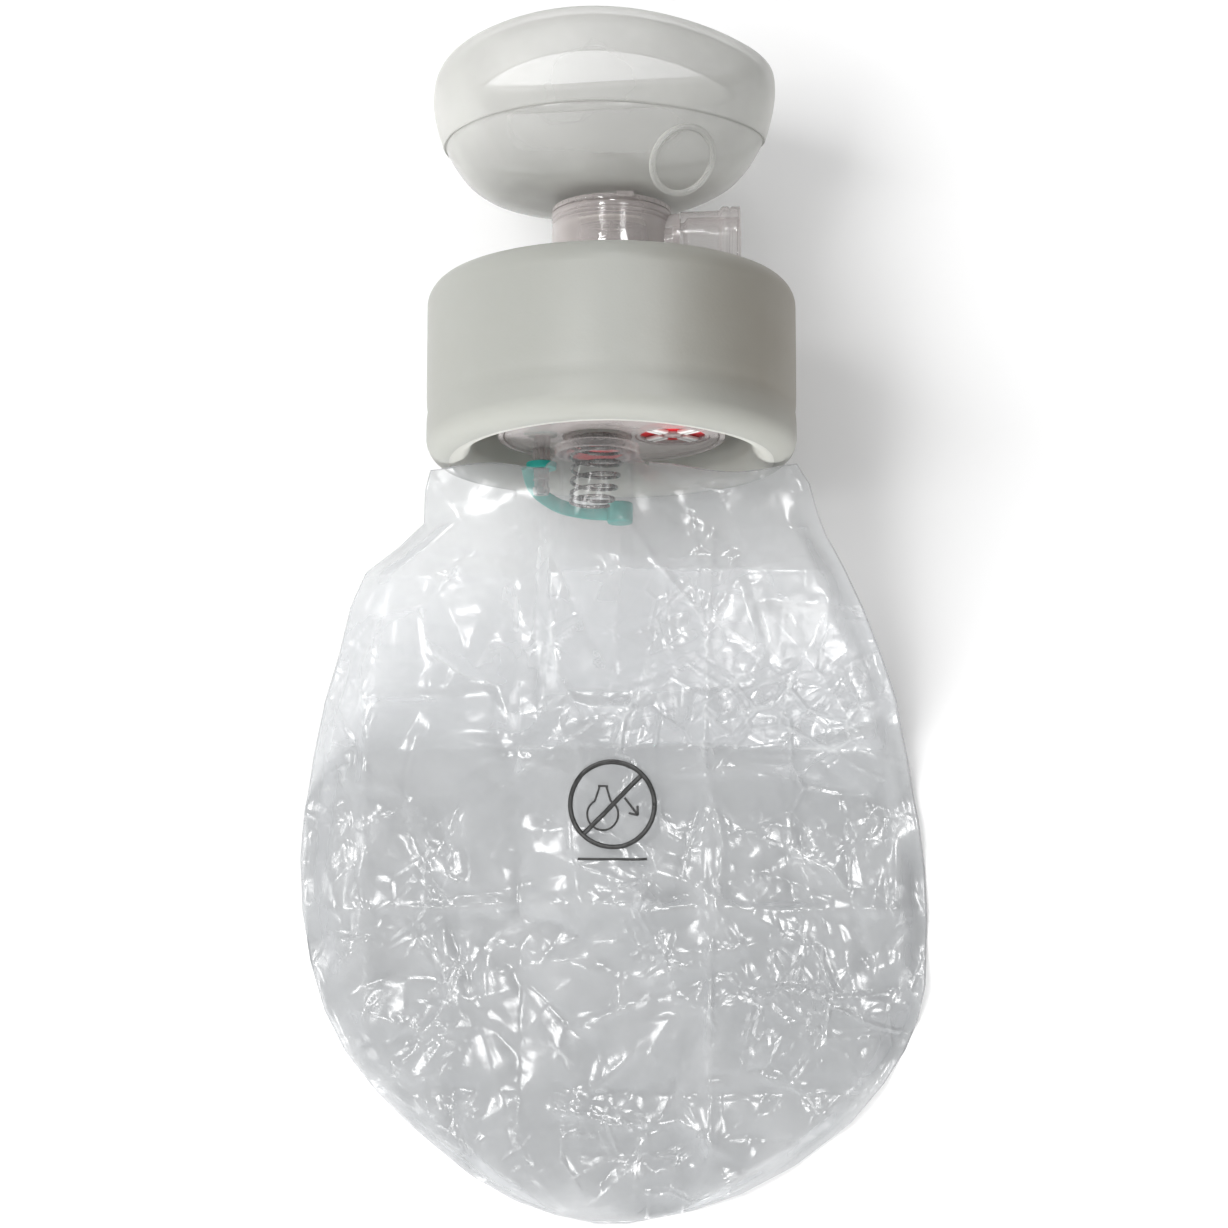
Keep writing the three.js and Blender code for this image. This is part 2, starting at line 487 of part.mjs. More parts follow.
const across = 12;
{
  const pos = [];
  for (const side of [1, 0]) {
    for (const a of stations) {
      for (let i = 0; i <= across; i++) {
        const u = i / across;
        const x = at(LEFT, a) * (1 - u) + at(RIGHT, a) * u;
        pos.push(x, a, filmAt(x, a)[side]);
      }
    }
  }
  const n = across + 1;
  const m = stations.length;
  const id = (side, k, i) => (side * m + k) * n + i;
  const idx = [];
  const quad = (A, B, C, D) => idx.push(A, B, C, A, C, D);
  for (let k = 0; k < m - 1; k++) {
    for (let i = 0; i < across; i++) {
      quad(id(0, k, i), id(0, k + 1, i), id(0, k + 1, i + 1), id(0, k, i + 1));
      quad(id(1, k, i), id(1, k, i + 1), id(1, k + 1, i + 1), id(1, k + 1, i));
    }
    quad(id(0, k, 0), id(1, k, 0), id(1, k + 1, 0), id(0, k + 1, 0));
    quad(id(0, k, across), id(0, k + 1, across), id(1, k + 1, across), id(1, k, across));
  }
  for (let i = 0; i < across; i++) {
    quad(id(0, 0, i), id(0, 0, i + 1), id(1, 0, i + 1), id(1, 0, i));
    quad(id(0, m - 1, i), id(1, m - 1, i), id(1, m - 1, i + 1), id(0, m - 1, i + 1));
  }
  const g = new THREE.BufferGeometry();
  g.setAttribute('position', new THREE.Float32BufferAttribute(pos, 3));
  g.setIndex(idx);
  const filmIn = NECK_TUBE_R + GAP;
  let film = solid(g);
  film = film.add(solid(lathe([[0, -4], [filmIn + 0.8, -4], [filmIn + 0.8, 7], [0, 7]], NECK_X, 0, 24)));
  film = film.subtract(solid(drill(filmIn, -17.5, 8, NECK_X, 0, 24)));
  addMan('reservoir_bag', film, material(0xd6d8d4, 0.2, { transparent: true, opacity: 0.5 }));
}

const clampIn = NECK_TUBE_R + GAP + 0.8 + GAP;
add('neck_clamp_ring', lathe([[clampIn, 3], [clampIn + 1.6, 3], [clampIn + 1.6, 6], [clampIn, 6]], NECK_X, 0, 24),
  material(0xe6e6e2, 0.4));

export default group;
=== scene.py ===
"""Bag valve mask with a reservoir bag, lying on a table with its squeeze bag
pushed in on itself. Lengths in the tables are millimetres: x to the right,
a along the device axis from the folded bag's rear lip towards the mask, and
z above the axis. P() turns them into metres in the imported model's frame."""

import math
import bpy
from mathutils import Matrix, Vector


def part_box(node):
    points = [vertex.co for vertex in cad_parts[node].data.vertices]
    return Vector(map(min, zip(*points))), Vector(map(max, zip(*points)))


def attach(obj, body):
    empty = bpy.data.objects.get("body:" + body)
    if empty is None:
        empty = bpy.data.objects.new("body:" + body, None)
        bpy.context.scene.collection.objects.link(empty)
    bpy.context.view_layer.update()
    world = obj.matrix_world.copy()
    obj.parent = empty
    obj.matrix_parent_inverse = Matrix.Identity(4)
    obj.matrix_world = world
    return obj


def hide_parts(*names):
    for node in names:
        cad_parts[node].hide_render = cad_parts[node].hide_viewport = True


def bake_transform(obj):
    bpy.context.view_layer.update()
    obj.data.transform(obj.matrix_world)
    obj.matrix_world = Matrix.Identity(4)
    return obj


bl_info = {
    "name": "Bag Valve Mask",
    "version": (1, 0, 0),
    "blender": (4, 5, 0),
    "location": "View3D > Sidebar > Resuscitator",
    "description": "Builds a folded bag valve mask around its packed model",
    "category": "Object",
}

import bmesh
import bpy
import numpy as np
from mathutils import Vector

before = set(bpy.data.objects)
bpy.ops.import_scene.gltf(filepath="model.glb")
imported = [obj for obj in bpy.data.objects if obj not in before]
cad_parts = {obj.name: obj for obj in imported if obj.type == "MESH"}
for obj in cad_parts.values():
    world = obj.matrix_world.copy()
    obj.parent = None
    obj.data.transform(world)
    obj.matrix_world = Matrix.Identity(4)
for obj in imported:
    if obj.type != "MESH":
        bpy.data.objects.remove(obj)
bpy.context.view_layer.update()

MM = 0.001
DRUM_LOW, DRUM_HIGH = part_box("bag_front_half")
LIP_Y = DRUM_LOW[1]
AXIS_Z = (DRUM_LOW[2] + DRUM_HIGH[2]) / 2
PORT_A = ((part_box("exhale_port")[0][1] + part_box("exhale_port")[1][1]) / 2 - LIP_Y) / MM

# x and z of what sits in the reservoir valve's face, and where the table lies below the axis
NECK_X = -5.0
INLET_X = 21.5
OVERFLOW = (-6, -24.4)
NIPPLE = (-25, -20)
TABLE = -65


def span(node, axis):
    """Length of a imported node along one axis, in millimetres."""
    low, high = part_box(node)
    return (high[axis] - low[axis]) / MM


def P(x, a, z):
    """Millimetres beside, along and above the device's axis as metres in the frame."""
    return (x * MM, LIP_Y + a * MM, AXIS_Z + z * MM)


# ---- sizes and colours that a user would change ----
def length(name, text, value):
    """A length property, given in millimetres."""
    return bpy.props.FloatProperty(
        name=name, description=text, default=value * MM, unit="LENGTH", precision=5
    )


def colour(name, text, value):
    """A colour property."""
    return bpy.props.FloatVectorProperty(
        name=name, description=text, default=value, subtype="COLOR", min=0, max=1
    )


class ResuscitatorSizes(bpy.types.PropertyGroup):
    bag_radius: length("Bag radius", "Outside radius of the squeeze bag", span("bag_front_half", 0) / 2)
    bag_depth: length("Bag depth", "Folded bag from lip to crown", span("bag_front_half", 1))
    bag_wall: length("Bag wall", "Thickness of the silicone wall", 2.6)
    lip_roll: length("Lip roll", "Radius of the rolled lip", 8)
    shoulder: length("Shoulder", "Radius of the front shoulder", 9)
    valve_radius: length(
        "Valve radius", "Outside radius of the patient valve", span("patient_connector", 0) / 2
    )
    housing_radius: length(
        "Housing radius", "Reservoir valve housing", span("reservoir_valve_housing", 0) / 2
    )
    mask_length: length("Mask length", "Nose to chin", 122)
    mask_width: length("Mask width", "Cheek to cheek", 94)
    spring_wire: length("Spring wire", "Radius of the steel wire", 0.62)
    spring_base: length("Spring base", "Coil radius at the wide end", 9.6)
    spring_end: length("Spring end", "Coil radius at the narrow end", 7.4)
    crinkle: bpy.props.FloatProperty(
        name="Crinkle", description="How crumpled the film is", default=1.0, min=0, max=2
    )


class ResuscitatorColours(bpy.types.PropertyGroup):
    silicone: colour("Silicone", "Squeeze bag", (0.352, 0.357, 0.331))
    mask: colour("Mask", "Face mask", (0.67, 0.67, 0.643))
    clear: colour("Clear plastic", "Moulded clear parts", (0.54, 0.495, 0.483))
    film: colour("Film", "Reservoir bag", (0.52, 0.535, 0.55))
    red: colour("Red rubber", "Valve flaps", (0.72, 0.02, 0.03))
    teal: colour("Teal silicone", "Oxygen inlet strap", (0.03, 0.42, 0.36))
    ink: colour("Ink", "Printed symbol", (0.015, 0.015, 0.014))


def sizes():
    """The size properties as a plain namespace in millimetres."""
    group = bpy.context.scene.resuscitator_sizes
    return {k: getattr(group, k) / MM for k in group.__annotations__ if k != "crinkle"}


def colours(name):
    """One of the scene's colour properties."""
    return tuple(getattr(bpy.context.scene.resuscitator_colours, name))


# ---- materials ----
FINISHES = {}


def finish(name, base, rough, **sockets):
    """A Principled material with its constant values on the shader's own sockets."""
    m = bpy.data.materials.new(name)
    m.use_nodes = True
    shader = m.node_tree.nodes["Principled BSDF"]
    shader.inputs["Base Color"].default_value = (*base, 1)
    shader.inputs["Roughness"].default_value = rough
    for key, value in sockets.items():
        shader.inputs[key.replace("_", " ")].default_value = value
    FINISHES[name] = m
    return m.node_tree, shader


def grain(tree, scale, detail=4.0):
    """Noise over the piece in object space, features about 1/scale metres."""
    where = tree.nodes.new("ShaderNodeTexCoord")
    noise = tree.nodes.new("ShaderNodeTexNoise")
    noise.inputs["Scale"].default_value = scale
    noise.inputs["Detail"].default_value = detail
    tree.links.new(where.outputs["Object"], noise.inputs["Vector"])
    return noise.outputs["Fac"]


def ramp(tree, factor, low, high, start=0.35, stop=0.65):
    """A factor between start and stop, spread out from low to high."""
    node = tree.nodes.new("ShaderNodeMapRange")
    node.inputs["From Min"].default_value = start
    node.inputs["From Max"].default_value = stop
    node.inputs["To Min"].default_value = low
    node.inputs["To Max"].default_value = high
    tree.links.new(factor, node.inputs["Value"])
    return node.outputs["Result"]


def tone(tree, shader, factor, dark, light):
    """Base colour between two shades."""
    mix = tree.nodes.new("ShaderNodeMix")
    mix.data_type = "RGBA"
    mix.inputs["A"].default_value = (*dark, 1)
    mix.inputs["B"].default_value = (*light, 1)
    tree.links.new(factor, mix.inputs["Factor"])
    tree.links.new(mix.outputs["Result"], shader.inputs["Base Color"])


def bump(tree, shader, factor, distance, strength=0.6):
    """Fine relief, distance metres deep."""
    node = tree.nodes.new("ShaderNodeBump")
    node.inputs["Strength"].default_value = strength
    node.inputs["Distance"].default_value = distance
    tree.links.new(factor, node.inputs["Height"])
    tree.links.new(node.outputs["Normal"], shader.inputs["Normal"])


def see_through(tree, shader, facing, edge, blend=0.4):
    """Alpha that rises towards the silhouette, as a thin clear wall does."""
    weight = tree.nodes.new("ShaderNodeLayerWeight")
    weight.inputs["Blend"].default_value = blend
    tree.links.new(
        ramp(tree, weight.outputs["Facing"], facing, edge, 0.0, 1.0), shader.inputs["Alpha"]
    )


def math_node(tree, kind, *values):
    """Output of a maths node on sockets or plain numbers."""
    node = tree.nodes.new("ShaderNodeMath")
    node.operation = kind
    for socket, value in zip(node.inputs, values):
        if isinstance(value, bpy.types.NodeSocket):
            tree.links.new(value, socket)
        else:
            socket.default_value = value
    return node.outputs[0]


def place(tree, axis):
    """One object-space coordinate, in metres."""
    where = tree.nodes.new("ShaderNodeTexCoord")
    split = tree.nodes.new("ShaderNodeSeparateXYZ")
    tree.links.new(where.outputs["Object"], split.inputs[0])
    return split.outputs[axis]


def wrinkle(tree, scale, width, seed):
    """Straight-edged creases, as between the facets of crumpled film."""
    where = tree.nodes.new("ShaderNodeTexCoord")
    mapping = tree.nodes.new("ShaderNodeMapping")
    mapping.inputs["Location"].default_value = (seed, 2.7 * seed, 0)
    cells = tree.nodes.new("ShaderNodeTexVoronoi")
    cells.feature = "DISTANCE_TO_EDGE"
    cells.inputs["Scale"].default_value = scale
    tree.links.new(where.outputs["Object"], mapping.inputs["Vector"])
    tree.links.new(mapping.outputs["Vector"], cells.inputs["Vector"])
    return ramp(tree, cells.outputs["Distance"], 1.0, 0.0, 0.0, width)


def make_film():
    """Clear film: glossy, whitened along its creases, partly the film's own crease whitening and partly
    painted highlight standing in for glints on them, clearer at the neck.
    """
    base = colours("film")
    tree, shader = finish("film", base, 0.2, Specular_IOR_Level=1.0)
    marks = tree.nodes.new("ShaderNodeAttribute")
    marks.attribute_name = "crease"
    broken = ramp(tree, grain(tree, 75, 2), 0.15, 1.0, 0.38, 0.6)
    mark = math_node(tree, "MULTIPLY", marks.outputs["Fac"], broken)
    patchy = ramp(tree, grain(tree, 19, 2), 0.0, 1.0, 0.46, 0.64)
    height = math_node(tree, "MULTIPLY", mark, 0.5)
    for scale, width, seed, k in ((26, 0.035, 1.1, 0.45), (60, 0.07, 2.3, 0.4), (120, 0.12, 3.9, 0.12)):
        line = math_node(tree, "MULTIPLY", wrinkle(tree, scale, width, seed), k)
        height = math_node(tree, "ADD", height, math_node(tree, "MULTIPLY", line, patchy))
    soft = math_node(tree, "MULTIPLY", grain(tree, 60, 2), 0.9)
    bump(tree, shader, math_node(tree, "ADD", height, soft), 0.0012, 0.75)
    # partly painted highlight: crease lines and crease marks are mixed towards near white so they show
    # bright as glints do, besides the film's own whitening at creases
    white = math_node(tree, "ADD", math_node(tree, "MULTIPLY", height, 0.35),
                      math_node(tree, "MULTIPLY", mark, 0.65))
    tone(tree, shader, ramp(tree, white, 0.0, 1.0, 0.1, 0.9), scaled(base, 0.95), (0.9, 0.92, 0.92))
    weight = tree.nodes.new("ShaderNodeLayerWeight")
    weight.inputs["Blend"].default_value = 0.5
    wall = ramp(tree, weight.outputs["Facing"], 0.25, 0.95, 0.0, 1.0)
    wall = math_node(tree, "ADD", wall, ramp(tree, grain(tree, 20, 3), 0.0, 0.1))
    wall = math_node(tree, "ADD", wall, ramp(tree, white, 0.0, 0.42, 0.15, 0.9))
    where = tree.nodes.new("ShaderNodeTexCoord")
    reach = tree.nodes.new("ShaderNodeVectorMath")
    reach.operation = "DISTANCE"
    tree.links.new(where.outputs["Object"], reach.inputs[0])
    reach.inputs[1].default_value = P(NECK_X, -3, 0)
    near_neck = ramp(tree, reach.outputs["Value"], 0.38, 1.0, 0.012, 0.036)
    tree.links.new(math_node(tree, "MULTIPLY", wall, near_neck), shader.inputs["Alpha"])


def scaled(rgb, k):
    """A lighter or darker shade of a colour."""
    return tuple(min(1, c * k) for c in rgb)


def make_silicones():
    """Squeeze bag: frosted front with painted shade darkening its right side towards brown, and the
    thinner half turned in, painted lighter.
    """
    base = colours("silicone")
    tree, shader = finish("frosted_silicone", base, 0.46, Subsurface_Weight=0.35,
                          Subsurface_Scale=0.004, Subsurface_Radius=(1.0, 0.95, 0.85),
                          Specular_IOR_Level=0.35)
    # painted shade: the front is mixed towards dark brown from x = 0 to 70 mm on the right, less at the
    # lip, and random mottle is added on top
    side = ramp(tree, place(tree, "X"), 0.0, 0.9, 0.0, 0.07)
    past_lip = ramp(tree, place(tree, "Y"), 0.25, 1.0, LIP_Y + 0.004, LIP_Y + 0.018)
    uneven = ramp(tree, grain(tree, 26, 3), -0.06, 0.06)
    painted_shade_and_mottle = math_node(tree, "ADD", math_node(tree, "MULTIPLY", side, past_lip), uneven)
    # the dark brown end is the colour of the painted shade on the right side
    tone(tree, shader, painted_shade_and_mottle, scaled(base, 1.04), (0.245, 0.218, 0.175))
    bump(tree, shader, grain(tree, 900), 0.00006)
    # painted light: the turned-in rear half is coloured about half again as light as the front, standing
    # in for light through the thin wall in the shaded recess
    tree, shader = finish("thin_silicone", scaled(base, 1.6), 0.5, Subsurface_Weight=0.5,
                          Subsurface_Scale=0.006, Subsurface_Radius=(1.0, 0.95, 0.85),
                          Specular_IOR_Level=0.3)
    tone(tree, shader, ramp(tree, grain(tree, 26, 3), 0, 1), (0.50, 0.50, 0.46), (0.57, 0.57, 0.53))
    bump(tree, shader, grain(tree, 900), 0.00006)


def make_clear_parts():
    """Mask and moulded plastic: see-through face on, denser towards their edges."""
    base = colours("mask")
    for name, facing, edge, rough in (
        ("clear_silicone", 0.28, 0.95, 0.2),
        ("satin_silicone", 0.32, 0.96, 0.5),
    ):
        tree, shader = finish(name, base, rough, Specular_IOR_Level=0.25)
        tone(tree, shader, ramp(tree, grain(tree, 30, 3), 0, 1), scaled(base, 0.9), scaled(base, 1.06))
        bump(tree, shader, grain(tree, 500), 0.00008)
        see_through(tree, shader, facing, edge)
    base = colours("clear")
    for name, k, facing, edge in (
        ("clear_plastic", 1.1, 0.3, 0.92),
        ("clear_cover", 0.95, 0.12, 0.8),
        ("thin_plastic", 1.2, 0.05, 0.5),
    ):
        tree, shader = finish(name, scaled(base, k), 0.07, Specular_IOR_Level=0.7)
        tone(tree, shader, ramp(tree, grain(tree, 60, 2), 0, 1),
             scaled(base, 0.92 * k), scaled(base, 1.06 * k))
        bump(tree, shader, grain(tree, 160, 2), 0.0001, 0.4)
        see_through(tree, shader, facing, edge)


def make_solid_parts():
    """Rubber, white plastic, steel wire, ink and the table."""
    for name, rgb, rough, k in (
        ("white_plastic", (0.8, 0.8, 0.78), 0.38, 0.00005),
        ("pale_rubber", (0.74, 0.72, 0.64), 0.55, 0.00008),
        ("red_rubber", colours("red"), 0.4, 0.00006),
        ("teal_silicone", colours("teal"), 0.42, 0.00008),
    ):
        tree, shader = finish(name, rgb, rough, Specular_IOR_Level=0.4)
        tone(tree, shader, ramp(tree, grain(tree, 120, 3), 0, 1), scaled(rgb, 0.88), scaled(rgb, 1.08))
        bump(tree, shader, grain(tree, 1500), k)
    tree, shader = finish("steel_wire", (0.2, 0.19, 0.18), 0.24, Metallic=0.85)
    tree.links.new(ramp(tree, grain(tree, 700, 3), 0.16, 0.36), shader.inputs["Roughness"])
    tone(tree, shader, ramp(tree, grain(tree, 200, 3), 0, 1), (0.10, 0.095, 0.09), (0.26, 0.25, 0.24))
    tree, shader = finish("ink", colours("ink"), 0.5)
    tone(tree, shader, ramp(tree, grain(tree, 900, 3), 0, 1), colours("ink"), (0.03, 0.03, 0.03))
    tree, shader = finish("table", (0.93, 0.93, 0.93), 0.6)
    tone(tree, shader, ramp(tree, grain(tree, 3, 2), 0, 1), (0.92, 0.92, 0.92), (0.945, 0.945, 0.945))


def make_finishes():
    make_silicones()
    make_clear_parts()
    make_film()
    make_solid_parts()


# ---- mesh helpers ----
LOFT_STEPS = 4


def piece(name, verts, faces, material, body, node=None, sharp=38):
    """Links a mesh as a finished piece, riding on a body and standing for a CAD node."""
    mesh = bpy.data.meshes.new(name)
    mesh.from_pydata([tuple(v) for v in verts], [], [tuple(f) for f in faces])
    mesh.validate()
    o = bpy.data.objects.new(name, mesh)
    bpy.context.scene.collection.objects.link(o)
    return settle(o, material, body, node, sharp)


def settle(o, material, body, node=None, sharp=38):
    b = bmesh.new()
    b.from_mesh(o.data)
    bmesh.ops.remove_doubles(b, verts=b.verts, dist=2e-6)
    bmesh.ops.recalc_face_normals(b, faces=b.faces)
    b.to_mesh(o.data)
    b.free()
    o.data.materials.clear()
    o.data.materials.append(FINISHES[material])
    o.data.shade_smooth()
    if sharp:
        o.data.set_sharp_from_angle(angle=math.radians(sharp))
    if body:
        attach(o, body)
    if node:
        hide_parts(*([node] if isinstance(node, str) else node))
    return o


def rounded(profile, radius, steps=3):
    """The profile with each corner off the axis rounded."""
    pts = [Vector(p) for p in profile]
    n = len(pts)
    closed = pts[0].x > 0 or pts[-1].x > 0
    out = []
    for i, p in enumerate(pts):
        before, after = pts[i - 1], pts[(i + 1) % n]
        if p.x <= 0 or (not closed and i in (0, n - 1)):
            out.append(tuple(p))
            continue
        u, v = before - p, after - p
        k = min(radius, 0.45 * u.length, 0.45 * v.length)
        p0, p1 = p + u.normalized() * k, p + v.normalized() * k
        for j in range(steps + 1):
            t = j / steps
            out.append(tuple((1 - t) ** 2 * p0 + 2 * t * (1 - t) * p + t * t * p1))
    return out


def lathe(profile, x=0.0, z=0.0, seg=120, along="a", shape=None):
    """Vertices and faces of a turned solid: profile is [radius, place along its axis]."""
    ends = [profile[0][0] <= 0, profile[-1][0] <= 0]
    loop = not any(ends)
    verts, rows = [], []
    for r, t in profile:
        if r <= 0:
            rows.append([len(verts)] * seg)
            verts.append((0.0, t, 0.0))
            continue
        rows.append(list(range(len(verts), len(verts) + seg)))
        for k in range(seg):
            w = 2 * math.pi * k / seg
            verts.append((r * math.sin(w), t, r * math.cos(w)))
    faces = []
    for i in range(len(rows) if loop else len(rows) - 1):
        A, B = rows[i], rows[(i + 1) % len(rows)]
        for k in range(seg):
            j = (k + 1) % seg
            f = []
            for v in (A[k], A[j], B[j], B[k]):
                if v not in f:
                    f.append(v)
            if len(f) > 2:
                faces.append(f)
    out = []
    for u, t, w in verts:
        p = (t, PORT_A + u, w) if along == "x" else (x + u, t, z + w)
        if shape:
            p = shape(*p)
        out.append(P(*p))
    return out, faces


def turned(name, profile, material, body, node=None, slot=None,
           radius=0.3, seg=120, sharp=38, **kw):
    """A finished piece turned from a profile whose corners are rounded."""
    verts, faces = lathe(rounded(profile, radius) if radius else profile, seg=seg, **kw)
    return piece(name, verts, faces, material, body, node, sharp)


def band(inner, outer, start, stop):
    """Profile of a plain ring or disc between two places along the axis."""
    return [(inner, start), (outer, start), (outer, stop), (inner, stop)]


def arc(cr, ca, rad, start, stop, n):
    """Profile points round a centre, from start to stop degrees."""
    return [
        (cr + rad * math.cos(t), ca + rad * math.sin(t))
        for t in (math.radians(start + (stop - start) * i / n) for i in range(n + 1))
    ]


def solid_box(cx, ca, cz, w, d, h):
    """Vertices and faces of a box about its centre."""
    verts = [P(cx + i * w / 2, ca + j * d / 2, cz + k * h / 2)
             for i in (-1, 1) for j in (-1, 1) for k in (-1, 1)]
    faces = [(0, 1, 3, 2), (4, 6, 7, 5), (0, 4, 5, 1), (2, 3, 7, 6), (0, 2, 6, 4), (1, 5, 7, 3)]
    return verts, faces


def scratch(verts, faces):
    """A plain object to cut or join with, not yet a finished piece."""
    mesh = bpy.data.meshes.new("scratch")
    mesh.from_pydata([tuple(v) for v in verts], [], [tuple(f) for f in faces])
    b = bmesh.new()
    b.from_mesh(mesh)
    bmesh.ops.recalc_face_normals(b, faces=b.faces)
    b.to_mesh(mesh)
    b.free()
    o = bpy.data.objects.new("scratch", mesh)
    bpy.context.scene.collection.objects.link(o)
    return o


def combine(o, other, how):
    """Exact boolean of o with a scratch object, which is then removed."""
    m = o.modifiers.new("combine", "BOOLEAN")
    m.operation, m.object, m.solver = how, other, "EXACT"
    apply(o)
    bpy.data.objects.remove(other)


def apply(o):
    """Freezes the object's modifiers into its mesh."""
    graph = bpy.context.evaluated_depsgraph_get()
    mesh = bpy.data.meshes.new_from_object(o.evaluated_get(graph), depsgraph=graph)
    o.modifiers.clear()
    o.data = mesh


def spline(p0, p1, p2, p3, t):
    """Point at t between p1 and p2 of a smooth curve through all four."""
    return 0.5 * (2 * p1 + (p2 - p0) * t + (2 * p0 - 5 * p1 + 4 * p2 - p3) * t * t
                  + (3 * p1 - p0 - 3 * p2 + p3) * t ** 3)


def loft(rings):
    """Closed shell through a loop of rings, splined between them."""
    r = np.array(rings, float)
    n = len(r)
    rows = []
    for i in range(n):
        near = (r[i - 1], r[i], r[(i + 1) % n], r[(i + 2) % n])
        rows += [spline(*near, j / LOFT_STEPS) for j in range(LOFT_STEPS)]
    m, c = len(rows), len(rings[0])
    verts = [P(*p) for row in rows for p in row]
    faces = [(k * c + i, ((k + 1) % m) * c + i, ((k + 1) % m) * c + (i + 1) % c, k * c + (i + 1) % c)
             for k in range(m) for i in range(c)]
    return verts, faces


# ---- geometry node trees ----
def node_tree(name, inputs):
    """A tree with named inputs, its group nodes and a shorthand for adding nodes."""
    tree = bpy.data.node_groups.new(name, "GeometryNodeTree")
    tree.interface.new_socket("Geometry", in_out="OUTPUT", socket_type="NodeSocketGeometry")
    for label, kind, value in inputs:
        s = tree.interface.new_socket(label, in_out="INPUT", socket_type="NodeSocket" + kind)
        if value is not None:
            s.default_value = value
    source = tree.nodes.new("NodeGroupInput")
    sink = tree.nodes.new("NodeGroupOutput")

    def add(kind, links=(), **values):
        node = tree.nodes.new(kind)
        for key, value in values.items():
            setattr(node, key, value)
        for socket, value in links:
            target = node.inputs[socket]
            if isinstance(value, bpy.types.NodeSocket):
                tree.links.new(value, target)
            else:
                target.default_value = value
        return node

    def end(geometry, material):
        real = add("GeometryNodeRealizeInstances", [("Geometry", geometry)])
        paint = add("GeometryNodeSetMaterial", [("Geometry", real.outputs[0])])
        paint.inputs["Material"].default_value = material
        tree.links.new(paint.outputs[0], sink.inputs[0])

    return tree, source, add, end


def grow(name, tree, values):
    """A plain mesh object from a node tree with its inputs set."""
    o = bpy.data.objects.new(name, bpy.data.meshes.new(name))
    bpy.context.scene.collection.objects.link(o)
    m = o.modifiers.new("grow", "NODES")
    m.node_group = tree
    for item in tree.interface.items_tree:
        if item.in_out == "INPUT" and item.name in values:
            m[item.identifier] = values[item.name]
    apply(o)
    o.data.name = name
    return o


def radial_tree(material):
    """Bars set out like spokes round an axis along Y."""
    tree, source, add, end = node_tree("radial_bars", [
        ("Count", "Int", 4), ("Inner", "Float", 0.002), ("Outer", "Float", 0.01),
        ("Width", "Float", 0.001), ("Depth", "Float", 0.001), ("Phase", "Float", 0.0),
        ("Centre", "Vector", (0, 0, 0))])
    s = source.outputs
    reach = add("ShaderNodeMath", [(0, s["Outer"]), (1, s["Inner"])], operation="SUBTRACT").outputs[0]
    total = add("ShaderNodeMath", [(0, s["Outer"]), (1, s["Inner"])], operation="ADD").outputs[0]
    middle = add("ShaderNodeMath", [(0, total), (1, 0.5)], operation="MULTIPLY").outputs[0]
    size = add("ShaderNodeCombineXYZ", [("X", reach), ("Y", s["Depth"]), ("Z", s["Width"])]).outputs[0]
    shift = add("ShaderNodeCombineXYZ", [("X", middle)]).outputs[0]
    cube = add("GeometryNodeMeshCube", [("Size", size)]).outputs["Mesh"]
    bar = add("GeometryNodeTransform", [("Geometry", cube), ("Translation", shift)]).outputs[0]
    points = add("GeometryNodePoints", [("Count", s["Count"])]).outputs[0]
    index = add("GeometryNodeInputIndex").outputs[0]
    share = add("ShaderNodeMath", [(0, index), (1, s["Count"])], operation="DIVIDE").outputs[0]
    turn = add("ShaderNodeMath", [(0, share), (1, 2 * math.pi)], operation="MULTIPLY").outputs[0]
    turn = add("ShaderNodeMath", [(0, turn), (1, s["Phase"])], operation="ADD").outputs[0]
    euler = add("ShaderNodeCombineXYZ", [("Y", turn)]).outputs[0]
    copies = add("GeometryNodeInstanceOnPoints",
                 [("Points", points), ("Instance", bar), ("Rotation", euler)]).outputs[0]
    placed = add("GeometryNodeTransform", [("Geometry", copies), ("Translation", s["Centre"])])
    end(placed.outputs[0], material)
    return tree


def bars(name, material, body, count, inner, outer, width, depth, centre, phase=0.0):
    """Equal bars set out like spokes round a centre, with bevelled edges."""
    tree = bpy.data.node_groups.get("radial_bars_" + material) or radial_tree(FINISHES[material])
    tree.name = "radial_bars_" + material
    o = grow(name, tree, {"Count": count, "Inner": inner * MM, "Outer": outer * MM, "Width": width * MM,
                          "Depth": depth * MM, "Phase": phase, "Centre": P(*centre)})
    m = o.modifiers.new("edge", "BEVEL")
    m.width, m.segments = 0.12 * min(width, depth) * MM, 2
    apply(o)
    settle(o, material, body)


